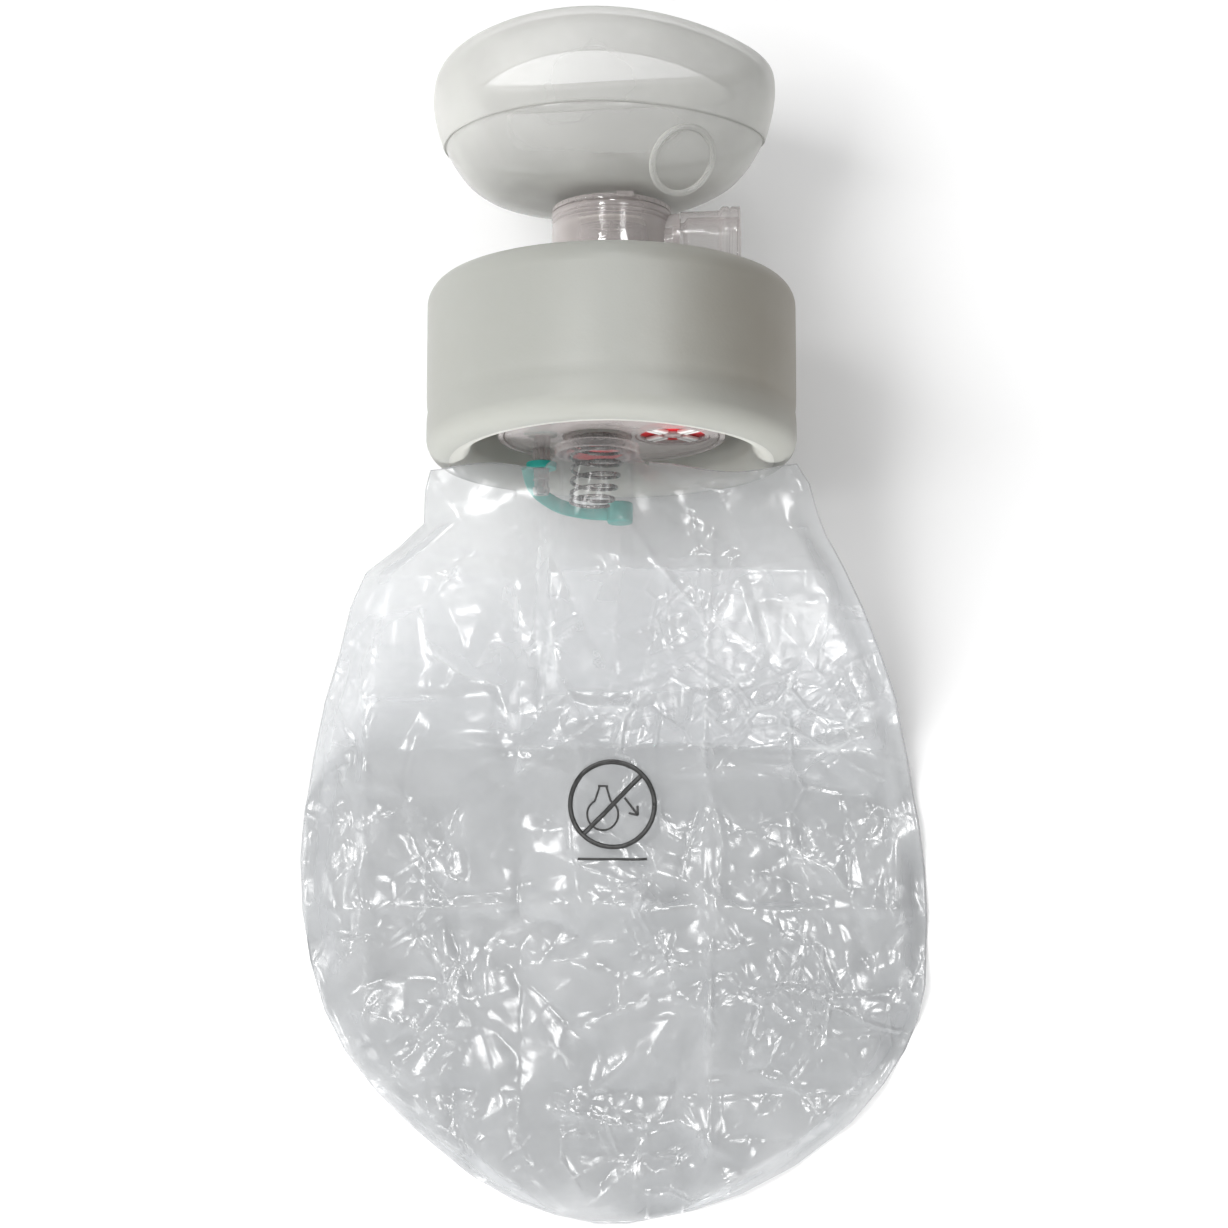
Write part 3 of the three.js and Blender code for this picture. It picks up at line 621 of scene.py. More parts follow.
def spring_tree(material):
    """Wire swept along a conical helix with close turns at both ends."""
    tree, source, add, end = node_tree("conical_spring", [
        ("Turns", "Float", 6.9), ("Close Turns", "Float", 1.6), ("Length", "Float", 0.023),
        ("Base", "Float", 0.0092), ("End", "Float", 0.0066), ("Wire", "Float", 0.0005),
        ("Lean", "Float", 0.002), ("Seat", "Vector", (0, 0, 0))])
    s = source.outputs

    def sums(kind, a, b=0.0, c=0.0):
        return add("ShaderNodeMath", [(0, a), (1, b), (2, c)], operation=kind).outputs[0]

    points = 520
    line = add("GeometryNodeMeshLine", [("Count", points)]).outputs[0]
    curve = add("GeometryNodeMeshToCurve", [(0, line)]).outputs[0]
    index = add("GeometryNodeInputIndex").outputs[0]
    share = sums("DIVIDE", index, points - 1.0)
    turn = sums("MULTIPLY", share, s["Turns"])
    angle = sums("MULTIPLY", turn, 2 * math.pi)
    pitch = sums("MULTIPLY", s["Wire"], 2.5)
    close = sums("MULTIPLY", turn, pitch)
    start = sums("DIVIDE", s["Close Turns"], s["Turns"])
    opened = add("ShaderNodeMapRange", [
        ("Value", share), ("From Min", start), ("From Max", 0.86), ("To Min", 0.0), ("To Max", 1.0)],
        interpolation_type="LINEAR").outputs["Result"]
    spare = sums("SUBTRACT", s["Length"], sums("MULTIPLY", s["Turns"], pitch))
    along = sums("ADD", close, sums("MULTIPLY", opened, spare))
    part = sums("DIVIDE", along, s["Length"])
    radius = sums("ADD", s["Base"], sums("MULTIPLY", part, sums("SUBTRACT", s["End"], s["Base"])))
    lean = sums("MULTIPLY", sums("MULTIPLY", part, part), s["Lean"])
    x = sums("SUBTRACT", sums("MULTIPLY", radius, sums("COSINE", angle)), lean)
    z = sums("MULTIPLY", radius, sums("SINE", angle))
    y = sums("MULTIPLY", along, -1.0)
    spot = add("ShaderNodeCombineXYZ", [("X", x), ("Y", y), ("Z", z)]).outputs[0]
    moved = add("GeometryNodeSetPosition", [("Geometry", curve), ("Position", spot)]).outputs[0]
    wire = add("GeometryNodeCurvePrimitiveCircle", [("Resolution", 14), ("Radius", s["Wire"])])
    swept = add("GeometryNodeCurveToMesh", [
        ("Curve", moved), ("Profile Curve", wire.outputs[0]), ("Fill Caps", True)])
    placed = add("GeometryNodeTransform", [("Geometry", swept.outputs[0]), ("Translation", s["Seat"])])
    end(placed.outputs[0], material)
    return tree


# ---- the squeeze bag ----
def soft_lip(x, a, z):
    """The folded lip sags forward a little at the top, where nothing holds it."""
    r = math.hypot(x, z)
    k = max(0.0, 1 - abs(a) / 34) * max(0.0, min(1.0, (r - 42) / 10))
    lift = max(0.0, z / 62) ** 2
    wave = 0.35 * math.sin(3 * math.atan2(z, x) + 0.8) + 0.2 * math.sin(5 * math.atan2(z, x))
    return x, a + k * (2.6 * lift + wave * 0.6), z


class BAG_OT_squeeze_bag(bpy.types.Operator):
    """Silicone squeeze bag: the front half stands, the rear half is turned in"""

    bl_idname = "resuscitator.squeeze_bag"
    bl_label = "Squeeze Bag"

    def execute(self, context):
        s = sizes()
        R, depth, wall = s["bag_radius"], s["bag_depth"], s["bag_wall"]
        lip, sh = s["lip_roll"], s["shoulder"]
        front = [(18, depth), (30, depth)]
        front += arc(R - sh, depth - sh, sh, 90, 0, 12)
        front += [(R, 40), (R, 24), (R - 0.1, 20), (R - 0.4, 17.5), (R - 0.1, 15), (R, 13)]
        front += arc(R - lip, lip, lip, 0, -90, 14)
        front += arc(R - lip, lip, lip - wall, -90, 0, 12)
        front += [(R - wall, 24), (R - wall, 40)]
        front += arc(R - sh, depth - sh, sh - wall, 0, 90, 10)
        front += [(26, depth - wall), (25, depth - 3.6), (18, depth - 3.6)]
        turned("squeeze_bag_front", front, "frosted_silicone", "bag", "bag_front_half",
               "silicone_bag", radius=0, seg=192, sharp=60, shape=soft_lip)
        r = R - 2 * lip
        rear = arc(R - lip, lip, lip, -90, -180, 14)
        rear += [(r - 0.3, 14), (r - 1.2, 20), (r - 2.7, 24.5), (r - 5, 28.5), (r - 7.6, 31.4),
                 (r - 11, 33.6), (r - 14.8, 35.1), (r - 19, 36), (24, 36.2), (18, 36)]
        rear += [(18, 38.6), (24, 38.8), (r - 18.5, 38.6), (r - 13.8, 37.6), (r - 9.3, 35.6),
                 (r - 5.4, 33), (r - 2.7, 29.8), (r - 0.1, 25.4), (r + 1.4, 20.6), (r + 2.3, 14)]
        rear += arc(R - lip, lip, lip - wall, 180, 270, 12)
        verts, faces = lathe(rear, seg=192, shape=soft_lip)
        # the rear half takes the silicone that is painted lighter to stand in for light in the recess
        o = piece("squeeze_bag_rear", verts, faces, "thin_silicone", None,
                  "bag_rear_half", 60)
        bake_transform(o)
        return {"FINISHED"}


class BAG_OT_neck_fittings(bpy.types.Operator):
    """Mount, nuts, swivel seal and intake in the bag's two necks"""

    bl_idname = "resuscitator.neck_fittings"
    bl_label = "Neck Fittings"

    def execute(self, context):
        mount = [(13.5, 48), (17.7, 48), (17.7, 64.8), (21.25, 64.8), (21.25, 67), (18.4, 67),
                 (18.4, 68.6), (17.4, 68.6), (17.4, 70.4), (18.4, 70.4), (18.4, 72), (13.5, 72)]
        turned("bag_mount_flange", mount, "clear_plastic", "bag", "bag_mount", "clear_plastic")
        turned("swivel_seal", arc(18.0, 69.5, 0.5, 0, 350, 17), "pale_rubber", "bag", "swivel_oring",
               "pale_rubber", radius=0, sharp=0)
        turned("front_neck_nut", band(18, 25, 56.4, 60.6), "white_plastic", "bag",
               "front_neck_ring", "white_plastic", radius=0.6)
        turned("rear_neck_nut", band(18, 25, 38.9, 42.9), "white_plastic", "rear_assembly",
               "rear_neck_ring", "white_plastic", radius=0.6)
        intake = [(14.4, 25.6), (19.3, 25.6), (19.3, 33.2), (23.5, 33.2), (23.5, 35.7), (17.7, 35.7),
                  (17.7, 45), (14.4, 45)]
        turned("intake_neck", intake, "clear_plastic", "rear_assembly", "intake_housing",
               "clear_plastic")
        turned("intake_rim", band(11.2, 14.2, 27, 28.4), "clear_plastic", "rear_assembly",
               "intake_seat", "clear_plastic")
        bars("intake_spokes", "clear_plastic", "rear_assembly", 6, 2.2, 11.4, 1.4, 1.2, (0, 27.7, 0))
        turned("intake_hub", band(0, 2.6, 27, 28.4), "clear_plastic", "rear_assembly")
        turned("intake_disc", [(0, 28.7), (12, 28.7), (12, 29.6), (2.4, 30), (0, 30)],
               "red_rubber", "intake_flap", "intake_flap", "red_rubber", radius=0.2)
        turned("housing_seal", band(15.2, 19.2, 24.5, 25.4), "pale_rubber",
               "rear_assembly", "housing_gasket", "pale_rubber", radius=0.2)
        return {"FINISHED"}


class BAG_OT_patient_valve(bpy.types.Operator):
    """Patient valve: body with its side port, seat, lip valve and connector"""

    bl_idname = "resuscitator.patient_valve"
    bl_label = "Patient Valve"

    def execute(self, context):
        R = sizes()["valve_radius"]
        inner, skirt = R - 2, R - 2.45
        skin = [(R, 67.3), (R, 70.2)]
        for a in (71.2, 74.2, 86.0, 87.6):
            skin += [(R, a - 0.5), (R - 0.55, a), (R, a + 0.5)]
        body = [(skirt, 67.3), *skin, (R, 90), (inner, 90), (inner, 73), (skirt, 73)]
        o = scratch(*lathe(rounded(body, 0.2, 2)))
        stub = [(0, 18.5), (10.8, 18.5), (11.4, R + 1), (11.4, 24.1), (0, 24.1)]
        combine(o, scratch(*lathe(stub, seg=96, along="x")), "UNION")
        bore = [(0, 10), (6.2, 10), (6.2, 21.6), (9.8, 21.6), (9.8, 30), (0, 30)]
        combine(o, scratch(*lathe(bore, seg=96, along="x")), "DIFFERENCE")
        for radius, start, stop in ((inner, 73.5, 95), (skirt, 66, 73.6)):
            combine(o, scratch(*lathe(band(0, radius, start, stop))), "DIFFERENCE")
        combine(o, scratch(*solid_box(-R - 0.9, 86.5, 0, 4.2, 4, 3.6)), "UNION")
        o.name = o.data.name = "valve_barrel"
        settle(o, "clear_plastic", "patient_valve", "valve_body", 40)

        port = [(8, 22.1), (9.5, 22.1), (9.5, 24.4), (12, 24.4), (12.0, 26), (12.15, 32), (12.45, 38.0),
                (13.5, 38.9), (14, 39.6), (14, 41.2), (13.55, 41.6), (13.55, 42.2), (14, 42.6),
                (14, 45.5), (12.9, 45.5), (12.2, 44.9), (11.2, 44.9), (10.3, 45.5),
                (10.1, 40), (9.9, 27), (8, 25.5)]
        turned("exhaust_port", port, "clear_cover", "patient_valve", "exhale_port", "clear_plastic",
               along="x", radius=0.25)
        seat = [(11.6, 66), (13.1, 66), (13.1, 85.6), (18.95, 85.6), (18.95, 87), (8, 87),
                (8, 85.6), (11.6, 85.6)]
        turned("valve_seat_plate", seat, "clear_cover", "patient_valve", "valve_seat",
               "clear_plastic", radius=0.2)
        bars("valve_seat_cross", "clear_cover", "patient_valve", 4, 0.5, 8.4, 1.2, 1.2, (0, 86.2, 0))
        leaf = [(0, 87.3), (10.8, 87.3), (10.8, 88.2), (5, 88.4), (1.6, 89.2), (0, 89.2)]
        turned("lip_valve_leaf", leaf, "pale_rubber", "lip_valve", "lip_valve", "pale_rubber",
               radius=0.3)
        turned("exhale_ring", band(13.5, 18.6, 84.3, 85.3), "pale_rubber",
               "exhale_disc", "exhale_disc", "pale_rubber", radius=0.3)

        cap = [(7.5, 90.3), (17.65, 90.3), (17.65, 89), (18.95, 89), (18.95, 90.3), (R, 90.3), (R, 91.8),
               (R - 0.5, 92.3), (19.2, 92.3), (18.8, 91.9), (18.0, 91.9), (17.6, 92.3), (15.5, 92.3),
               (15.3, 91.8), (11.4, 91.8), (11, 110), (7.8, 110)]
        o = scratch(*lathe(rounded(cap, 0.2, 2)))
        combine(o, scratch(*solid_box(4.7, 91.6, R - 0.6, 6, 2, 2.4)), "UNION")
        o.name = o.data.name = "connector_cap"
        settle(o, "clear_plastic", "patient_valve", "patient_connector", 40)
        bars("cap_grips", "clear_cover", "patient_valve", 40, R - 0.45, R + 0.02, 0.7, 1.1, (0, 91.1, 0))
        return {"FINISHED"}


# ---- the face mask ----
RING_POINTS = 120


def ring(cx, half, width, a, cheek, nose, pinch):
    """One oval of the mask, drawn to a point at the nose, cheeks standing higher."""
    out = []
    for i in range(RING_POINTS):
        t = 2 * math.pi * i / RING_POINTS
        c, s = math.cos(t), math.sin(t)
        narrowing = 1 - pinch * c - 0.3 * pinch * c * c
        out.append((cx + half * c, a + cheek * s * s + nose * c, width * s * narrowing))
    return out


def hoop(centre, facing, radius, wide, deep, big=96, small=14):
    """A hoop of oval section round a centre, lying square to the facing direction."""
    n = facing.normalized()
    u = n.cross(Vector((0, 1, 0))).normalized()
    v = n.cross(u)
    verts, faces = [], []
    for i in range(big):
        t = 2 * math.pi * i / big
        out = u * math.cos(t) + v * math.sin(t)
        for j in range(small):
            q = 2 * math.pi * j / small
            spot = centre + out * (radius + wide * math.cos(q)) + n * (deep * math.sin(q))
            verts.append(P(*spot))
            k, m = (i + 1) % big, (j + 1) % small
            faces.append((i * small + j, k * small + j, k * small + m, i * small + m))
    return verts, faces


class BAG_OT_face_mask(bpy.types.Operator):
    """Silicone mask: clear dome with its socket, and the frosted face cushion"""

    bl_idname = "resuscitator.face_mask"
    bl_label = "Face Mask"

    def execute(self, context):
        s = sizes()
        L, W, w, cx = s["mask_length"] / 2, s["mask_width"] / 2, 2.0, -2.5
        n_in, n_out = 11.6, 14.0
        bowl = [
            (cx * 0.5, 30, 25, 95, 0, 0.4, 0.03),
            (cx, L * 0.645, W * 0.665, 97.4, 0.5, 0.8, 0.08),
            (cx, L * 0.77, W * 0.79, 102, 1, 1, 0.12),
            (cx, L * 0.86, W * 0.87, 108.5, 1.5, 1.2, 0.15),
            (cx, L * 0.925, W * 0.93, 116, 2, 1.5, 0.17),
            (cx, L * 0.925 - w, W * 0.93 - w, 116.4, 2, 1.5, 0.17),
            (cx, L * 0.86 - w, W * 0.87 - w, 109.4, 1.5, 1.2, 0.15),
            (cx, L * 0.77 - 1.9, W * 0.79 - 1.9, 103.6, 1, 1, 0.12),
            (cx, L * 0.645 - 1, W * 0.665 - 1, 99.3, 0.5, 0.8, 0.08),
            (cx * 0.5, 29, 24, 96.9, 0, 0.4, 0.03),
        ]
        neck_inside = [(0, n_out + 3.4, n_out + 3, 96.7, 0, 0, 0)]
        neck_inside += [(0, r, r, a, 0, 0, 0) for r, a in (
            (n_out, 97.6), (n_out - 0.1, 107.6), (n_in + 0.1, 107.8), (n_in, 104), (n_in, 96),
            (n_in, 93.1))]
        neck_outside = [(0, n_out, n_out, 93.0, 0, 0, 0), (0, n_out + 0.5, n_out + 0.5, 94.1, 0, 0, 0),
                        (0, n_out + 5, n_out + 4, 94.7, 0, 0.2, 0.01)]
        verts, faces = loft([ring(*r) for r in neck_outside + bowl + neck_inside])
        piece("mask_bowl", verts, faces, "clear_silicone", "mask", "mask_dome",
              70)

        rim = [
            (cx, L * 0.928, W * 0.933, 116.5, 2, 1.5, 0.17),
            (cx, L * 0.944, W * 0.947, 116.9, 2, 1.5, 0.17),
            (cx, L * 0.985, W * 0.985, 126, 2.8, 2, 0.18), (cx, L, W, 134, 4.5, 2.5, 0.19),
            (cx, L * 0.985, W * 0.985, 141, 6, 2, 0.2), (cx, L * 0.935, W * 0.92, 145.2, 7.4, 1.2, 0.2),
            (cx, L * 0.86, W * 0.82, 145, 8, 0.6, 0.2), (cx, L * 0.78, W * 0.73, 141, 8, 0.4, 0.2),
            (cx, L * 0.74, W * 0.69, 134, 7, 0.4, 0.2), (cx, L * 0.765, W * 0.715, 134, 7, 0.4, 0.2),
            (cx, L * 0.79, W * 0.745, 139.4, 8, 0.4, 0.2), (cx, L * 0.86, W * 0.825, 142.8, 8, 0.6, 0.2),
            (cx, L * 0.915, W * 0.9, 142.6, 7.2, 1.2, 0.2), (cx, L * 0.95, W * 0.945, 138.6, 6, 2, 0.2),
            (cx, L - w, W - w, 133, 4.5, 2.5, 0.19), (cx, L * 0.985 - w, W * 0.985 - w, 126, 2.8, 2, 0.18),
            (cx, L * 0.925 - w - 0.4, W * 0.93 - w - 0.4, 119, 2, 1.5, 0.17),
            (cx, L * 0.925 - w - 0.4, W * 0.93 - w - 0.4, 116.9, 2, 1.5, 0.17)]
        verts, faces = loft([ring(*r) for r in rim])
        piece("mask_rim", verts, faces, "satin_silicone", "mask", "mask_cushion",
              70)

        verts, faces = hoop(Vector((24.8, 102.4, 26)), Vector((0.47, -0.52, 0.71)), 12, 1.2, 1.1)
        piece("mask_finger_ring", verts, faces, "clear_silicone", "mask", None, 0)
        return {"FINISHED"}


# ---- the reservoir valve ----
class BAG_OT_reservoir_valve(bpy.types.Operator):
    """Clear valve housing in the bag's recess, with its red flaps and grilles"""

    bl_idname = "resuscitator.reservoir_valve"
    bl_label = "Reservoir Valve"

    def execute(self, context):
        s = sizes()
        R, rear = s["housing_radius"], "rear_assembly"
        housing = [(14.6, 24.3), (R - 3, 24.3), (R, 21.3), (R, 13.4), (R - 0.4, 13), (R - 0.4, 12.2),
                   (R, 11.8), (R, 9), (R - 2, 9), (R - 2, 20.9), (R - 4, 22.3), (14.6, 22.3)]
        turned("valve_housing", housing, "clear_cover", rear, "reservoir_valve_housing",
               "clear_plastic", radius=0.4, seg=160)
        o = scratch(*lathe(rounded(band(0, R - 2.3, 9.4, 11.4), 0.3), seg=160))
        for x, z, r in ((NECK_X, 0, 12.3), (INLET_X, 0, 13.2), (*OVERFLOW, 11), (*NIPPLE, 3.3)):
            combine(o, scratch(*lathe(band(0, r, 5, 15), x, z, 96)), "DIFFERENCE")
        o.name = o.data.name = "valve_face"
        settle(o, "clear_cover", rear, "reservoir_face_plate", 40)
        for side, x, z, r, a, flap_a, body in (
            ("air_inlet", INLET_X, 0, 13.0, 9.6, 11.1, "air_inlet_flap"),
            ("overflow", *OVERFLOW, 10.8, 10.0, 8.8, "overflow_flap"),
        ):
            turned(side + "_ring", band(r - 1.6, r, a, a + 1.2), "clear_cover", rear,
                   side + "_grille", "clear_plastic", x=x, z=z, radius=0.3)
            bars(side + "_spokes", "clear_cover", rear, 4, 0.6, r - 1.4, 1.3, 1.2,
                 (x, a + 0.6, z), math.pi / 4)
            turned(side + "_hub", band(0, 3, a, a + 1.2), "clear_cover", rear, x=x, z=z)
            turned(side + "_leaf", band(0, r - 0.8, flap_a, flap_a + 0.9), "red_rubber",
                   body, side + "_flap", "red_rubber", x=x, z=z, radius=0.25)
        bars("air_inlet_webs", "white_plastic", rear, 4, 4.4, 11.0, 4.6, 1.0,
             (INLET_X, 10.2, 0), math.pi / 4)
        spigot = [(10.4, 2), (11.6, 2), (12, 2.4), (12, 11.7), (13.1, 11.7), (13.1, 13), (10.4, 13)]
        turned("reservoir_spigot", spigot, "thin_plastic", rear, "reservoir_neck_tube",
               "clear_plastic", x=NECK_X, radius=0.2)
        turned("film_clamp", band(13.4, 15, 3, 6), "thin_plastic", rear, "neck_clamp_ring",
               "white_plastic", x=NECK_X, radius=0.5)
        o = grow("neck_spring", spring_tree(FINISHES["steel_wire"]), {
            "Base": s["spring_base"] * MM, "End": s["spring_end"] * MM, "Wire": s["spring_wire"] * MM,
            "Seat": P(NECK_X, 8.6, 0)})
        settle(o, "steel_wire", rear, "anti_collapse_spring", 60)
        return {"FINISHED"}


def strap(path, steps=12):
    """A flat band with bevelled edges along a smooth curve through the path's points."""
    last = len(path) - 1
    dense = []
    for i in range(last):
        near = (path[max(0, i - 1)], path[i], path[i + 1], path[min(last, i + 2)])
        dense += [spline(*near, j / steps) for j in range(steps)]
    dense.append(path[-1])
    rim = [(0.8, -2.2), (0.5, -2.5), (-0.5, -2.5), (-0.8, -2.2)]
    rim += [(-a, -b) for a, b in rim]
    verts, faces = [], []
    for i, p in enumerate(dense):
        d = (dense[min(i + 1, len(dense) - 1)] - dense[max(i - 1, 0)]).normalized()
        side = d.cross(Vector((0, 0, 1))).normalized()
        up = side.cross(d)
        verts += [P(*(p + side * b + up * a)) for a, b in rim]
    m = len(rim)
    for i in range(len(dense) - 1):
        for j in range(m):
            k = (j + 1) % m
            faces.append((i * m + j, i * m + k, (i + 1) * m + k, (i + 1) * m + j))
    faces += [tuple(range(m)), tuple((len(dense) - 1) * m + j for j in range(m))]
    return verts, faces


class BAG_OT_oxygen_inlet(bpy.types.Operator):
    """Barbed oxygen nipple with its tethered teal cap"""

    bl_idname = "resuscitator.oxygen_inlet"
    bl_label = "Oxygen Inlet"

    def execute(self, context):
        nx, nz = NIPPLE
        barb = [(1.4, -7), (2.6, -7), (3.2, -4.6), (2.5, -4.4), (2.5, -2), (3.2, -1.6), (2.7, -1.2),
                (2.7, 5.2), (3, 5.6), (3, 11.7), (4.4, 11.7), (4.4, 12.8), (1.4, 12.8)]
        turned("oxygen_barb", barb, "clear_plastic", "rear_assembly", "oxygen_nipple",
               "clear_plastic", x=nx, z=nz, radius=0.2, seg=64)
        path = [Vector(p) for p in (
            (nx - 4.8, 3.4, nz - 1), (nx - 2.2, -3.2, nz - 8), (nx + 5.5, -8.4, nz - 11),
            (nx + 15, -10.8, nz - 11.5), (nx + 25, -11.6, nz - 11))]
        o = scratch(*strap(path))
        eye = rounded(band(3, 5.4, 2.2, 4.6), 0.4)
        combine(o, scratch(*lathe(eye, nx, nz, 64)), "UNION")
        cap = [(0, -15.2), (4.1, -15.2), (4.6, -14.6), (4.6, -8), (4.1, -7.6), (2.9, -7.6),
               (2.7, -8), (2.7, -12), (0, -12)]
        combine(o, scratch(*lathe(rounded(cap, 0.3), nx + 28, nz - 11, 64)), "UNION")
        o.name = o.data.name = "oxygen_cap"
        settle(o, "teal_silicone", "rear_assembly", "oxygen_cap_strap", 50)
        return {"FINISHED"}


# ---- the film reservoir bag ----
# the pouch's two edges as place along the axis and x
LEFT = [(-1.5, -63.5), (-10, -65.4), (-21, -65.8), (-29, -75), (-37, -86.5), (-48, -92.4), (-62, -97),
        (-77, -102.8), (-97, -108), (-114, -111.2), (-132, -112.4), (-151, -111.4), (-169, -108.4),
        (-187, -102.8), (-201, -95.4), (-215, -84.5), (-229, -70), (-245, -50.4), (-254, -34.5),
        (-259, -20.5), (-262, -6)]
RIGHT = [(-1.5, 65), (-8, 69.5), (-18, 72.5), (-25, 75.5), (-36, 82.3), (-48, 88.8), (-62, 95.9),
         (-77, 102.4), (-97, 107.3), (-118, 111), (-136, 113.2), (-154, 113.8), (-178, 112.6),
         (-190, 109.9), (-201, 105.1), (-213, 97.2), (-227, 85.1), (-242, 65), (-252, 45.7),
         (-258, 28), (-262, 6)]
MOUTH_A, FOOT_A = -1.5, -262
MOUTH_RADIUS, SPIGOT_GAP = 12.7, 14
WELD, FILM = 3.5, 0.14
FILM_ROWS, FILM_COLUMNS = 225, 190
FOLDS_X = (-89.0, -33.5, 34.0, 100.0)
FOLDS_A = (-38.0, -93.0, -150.0, -216.0)


def edge_at(table, a):
    """x of one of the pouch's edges at each place along the axis."""
    pts = np.array(sorted(table))
    return np.interp(a, pts[:, 0], pts[:, 1])


def smooth(u):
    """Eased step from 0 to 1."""
    u = np.clip(u, 0, 1)
    return u * u * (3 - 2 * u)


def crumple(x, a, rng, mark, count, long, deep, wide):
    """Sum of short sharp folds, as in film that has been packed and opened."""
    h = np.zeros_like(x)
    for _ in range(count):
        cx, ca = rng.uniform(-115, 115), rng.uniform(-262, 0)
        turn = rng.uniform(0, math.pi)
        c, s = math.cos(turn), math.sin(turn)
        reach = rng.uniform(*long)
        near = (np.abs(x - cx) < 2.2 * reach) & (np.abs(a - ca) < 2.2 * reach)
        if not near.any():
            continue
        dx, da = x[near] - cx, a[near] - ca
        along, off = dx * c + da * s, -dx * s + da * c
        off = off + 0.05 * reach * np.sin(along / reach * 2.2 + turn * 3)
        k = rng.uniform(*deep)
        fade = np.exp(-((along / reach) ** 2))
        h[near] += k * rng.choice((-1, 1)) * np.exp(-np.abs(off) / rng.uniform(*wide)) * fade
        mark[near] = np.maximum(mark[near], 0.26 * k * np.exp(-np.abs(off) / 1.25) * fade)
    return h


# the longest creases, each a polyline of x, a
CREASES = (
    ((-22.6, -18), (-21.4, -60), (-19, -70), (-14, -77), (-8, -79.5), (6, -79.5)),
    ((-34, -24), (-33.2, -60), (-33.5, -90), (-34, -120)),
    ((-24.5, -22), (-27, -50), (-24, -80)),
    ((5, -22), (14, -34), (28, -48), (31, -52)),
    ((28.5, -18), (31, -48), (34, -66), (33, -96)),
    ((-62, -38), (-67, -50), (-65, -62), (-52, -70), (-40, -74), (-35, -88)),
    ((-96, -62), (-84, -52), (-66, -48), (-48, -30)),
    ((66, -77), (52, -80), (37, -86)),
    ((52, -48), (56, -58), (50, -70)),
    ((-52, -167), (-60, -186), (-70, -200), (-84, -219)),
    ((-41, -163), (-22, -168), (-4, -174), (14, -176), (30, -171)),
    ((43, -231), (62, -233), (82, -231)),
    ((34, -100), (40, -128), (36, -160), (34, -200)),
    ((64, -128), (78, -136), (90, -150), (96, -176)),
    ((-97, -100), (-92, -134), (-88, -158)),
    ((-20, -222), (2, -228), (24, -226), (40, -238)),
)


def long_creases(x, a, mark):
    """Relief of the longest creases, which are also marked."""
    h = np.zeros_like(x)
    for i, line in enumerate(CREASES):
        best = np.full(x.shape, 1e9)
        for (x0, a0), (x1, a1) in zip(line, line[1:]):
            dx, da = x1 - x0, a1 - a0
            t = np.clip(((x - x0) * dx + (a - a0) * da) / (dx * dx + da * da), 0, 1)
            best = np.minimum(best, np.hypot(x - x0 - t * dx, a - a0 - t * da))
        h += (1.3, 0.9, -1.1)[i % 3] * np.exp(-best / 1.7)
        np.maximum(mark, 0.42 * np.exp(-best / 1.25), out=mark)
    return h


def factory_folds(x, a, mark):
    """The square grid of creases from how the bag was folded flat in its pack."""
    h = np.zeros_like(x)
    for lines, across, along in ((FOLDS_X, x, a), (FOLDS_A, a, x)):
        for i, line in enumerate(lines):
            off = np.abs(across - line - 1.0 * np.sin(along / 31 + i))
            h += (-1) ** i * (1.7 + 0.6 * np.sin(along / 23 + 2 * i)) * np.exp(-off / 4.5)
            seen = 0.5 + 0.5 * np.sin(along / 17 + 3 * i)
            np.maximum(mark, (0.14 + 0.3 * seen) * np.exp(-off / 1.1), out=mark)
    return h


def film_grid():
    """Grid points over the pouch: x, a, the rows' places, depth below the mouth and
    distance in from the nearest outer edge."""
    v, u = np.linspace(0, 1, FILM_ROWS), np.linspace(0, 1, FILM_COLUMNS)
    rows = MOUTH_A + (FOOT_A - MOUTH_A) * (0.55 * v + 0.45 * v ** 1.6)
    a0 = np.repeat(rows[:, None], FILM_COLUMNS, 1)
    left, right = edge_at(LEFT, rows)[:, None], edge_at(RIGHT, rows)[:, None]
    x = left * (1 - u) + right * u
    dx, below = x - NECK_X, MOUTH_A - a0
    a = a0 + 8.2 * np.exp(-(dx / 15.5) ** 6) * np.exp(-below / 7)
    a += 1.6 * np.sin(x / 9.0) * np.exp(-below / 5) * (np.abs(dx) > 18)
    inset = np.minimum(np.minimum(x - left, right - x), (a - FOOT_A + 0.2) * 0.9)
    return x, a, rows, below, inset


def half_gap(x, a, below, inset):
    """Half the gap between the films: round at the spigot, then a bulge that fades."""
    dx = x - NECK_X
    bulge = np.exp(-((dx / 25) ** 2))
    puff = (1 - smooth((-22 - a) / 60)) * bulge
    mouth = np.sqrt(np.maximum(0.16, MOUTH_RADIUS ** 2 - dx ** 2))
    grip = np.exp(-below / 9)
    half = grip * np.minimum(mouth, 0.4 + 13.0 * bulge) + (1 - grip) * (0.5 + 12.6 * puff)
    return np.where(np.abs(dx) < 16, half, half * (0.15 + 0.85 * smooth(inset / 10)))


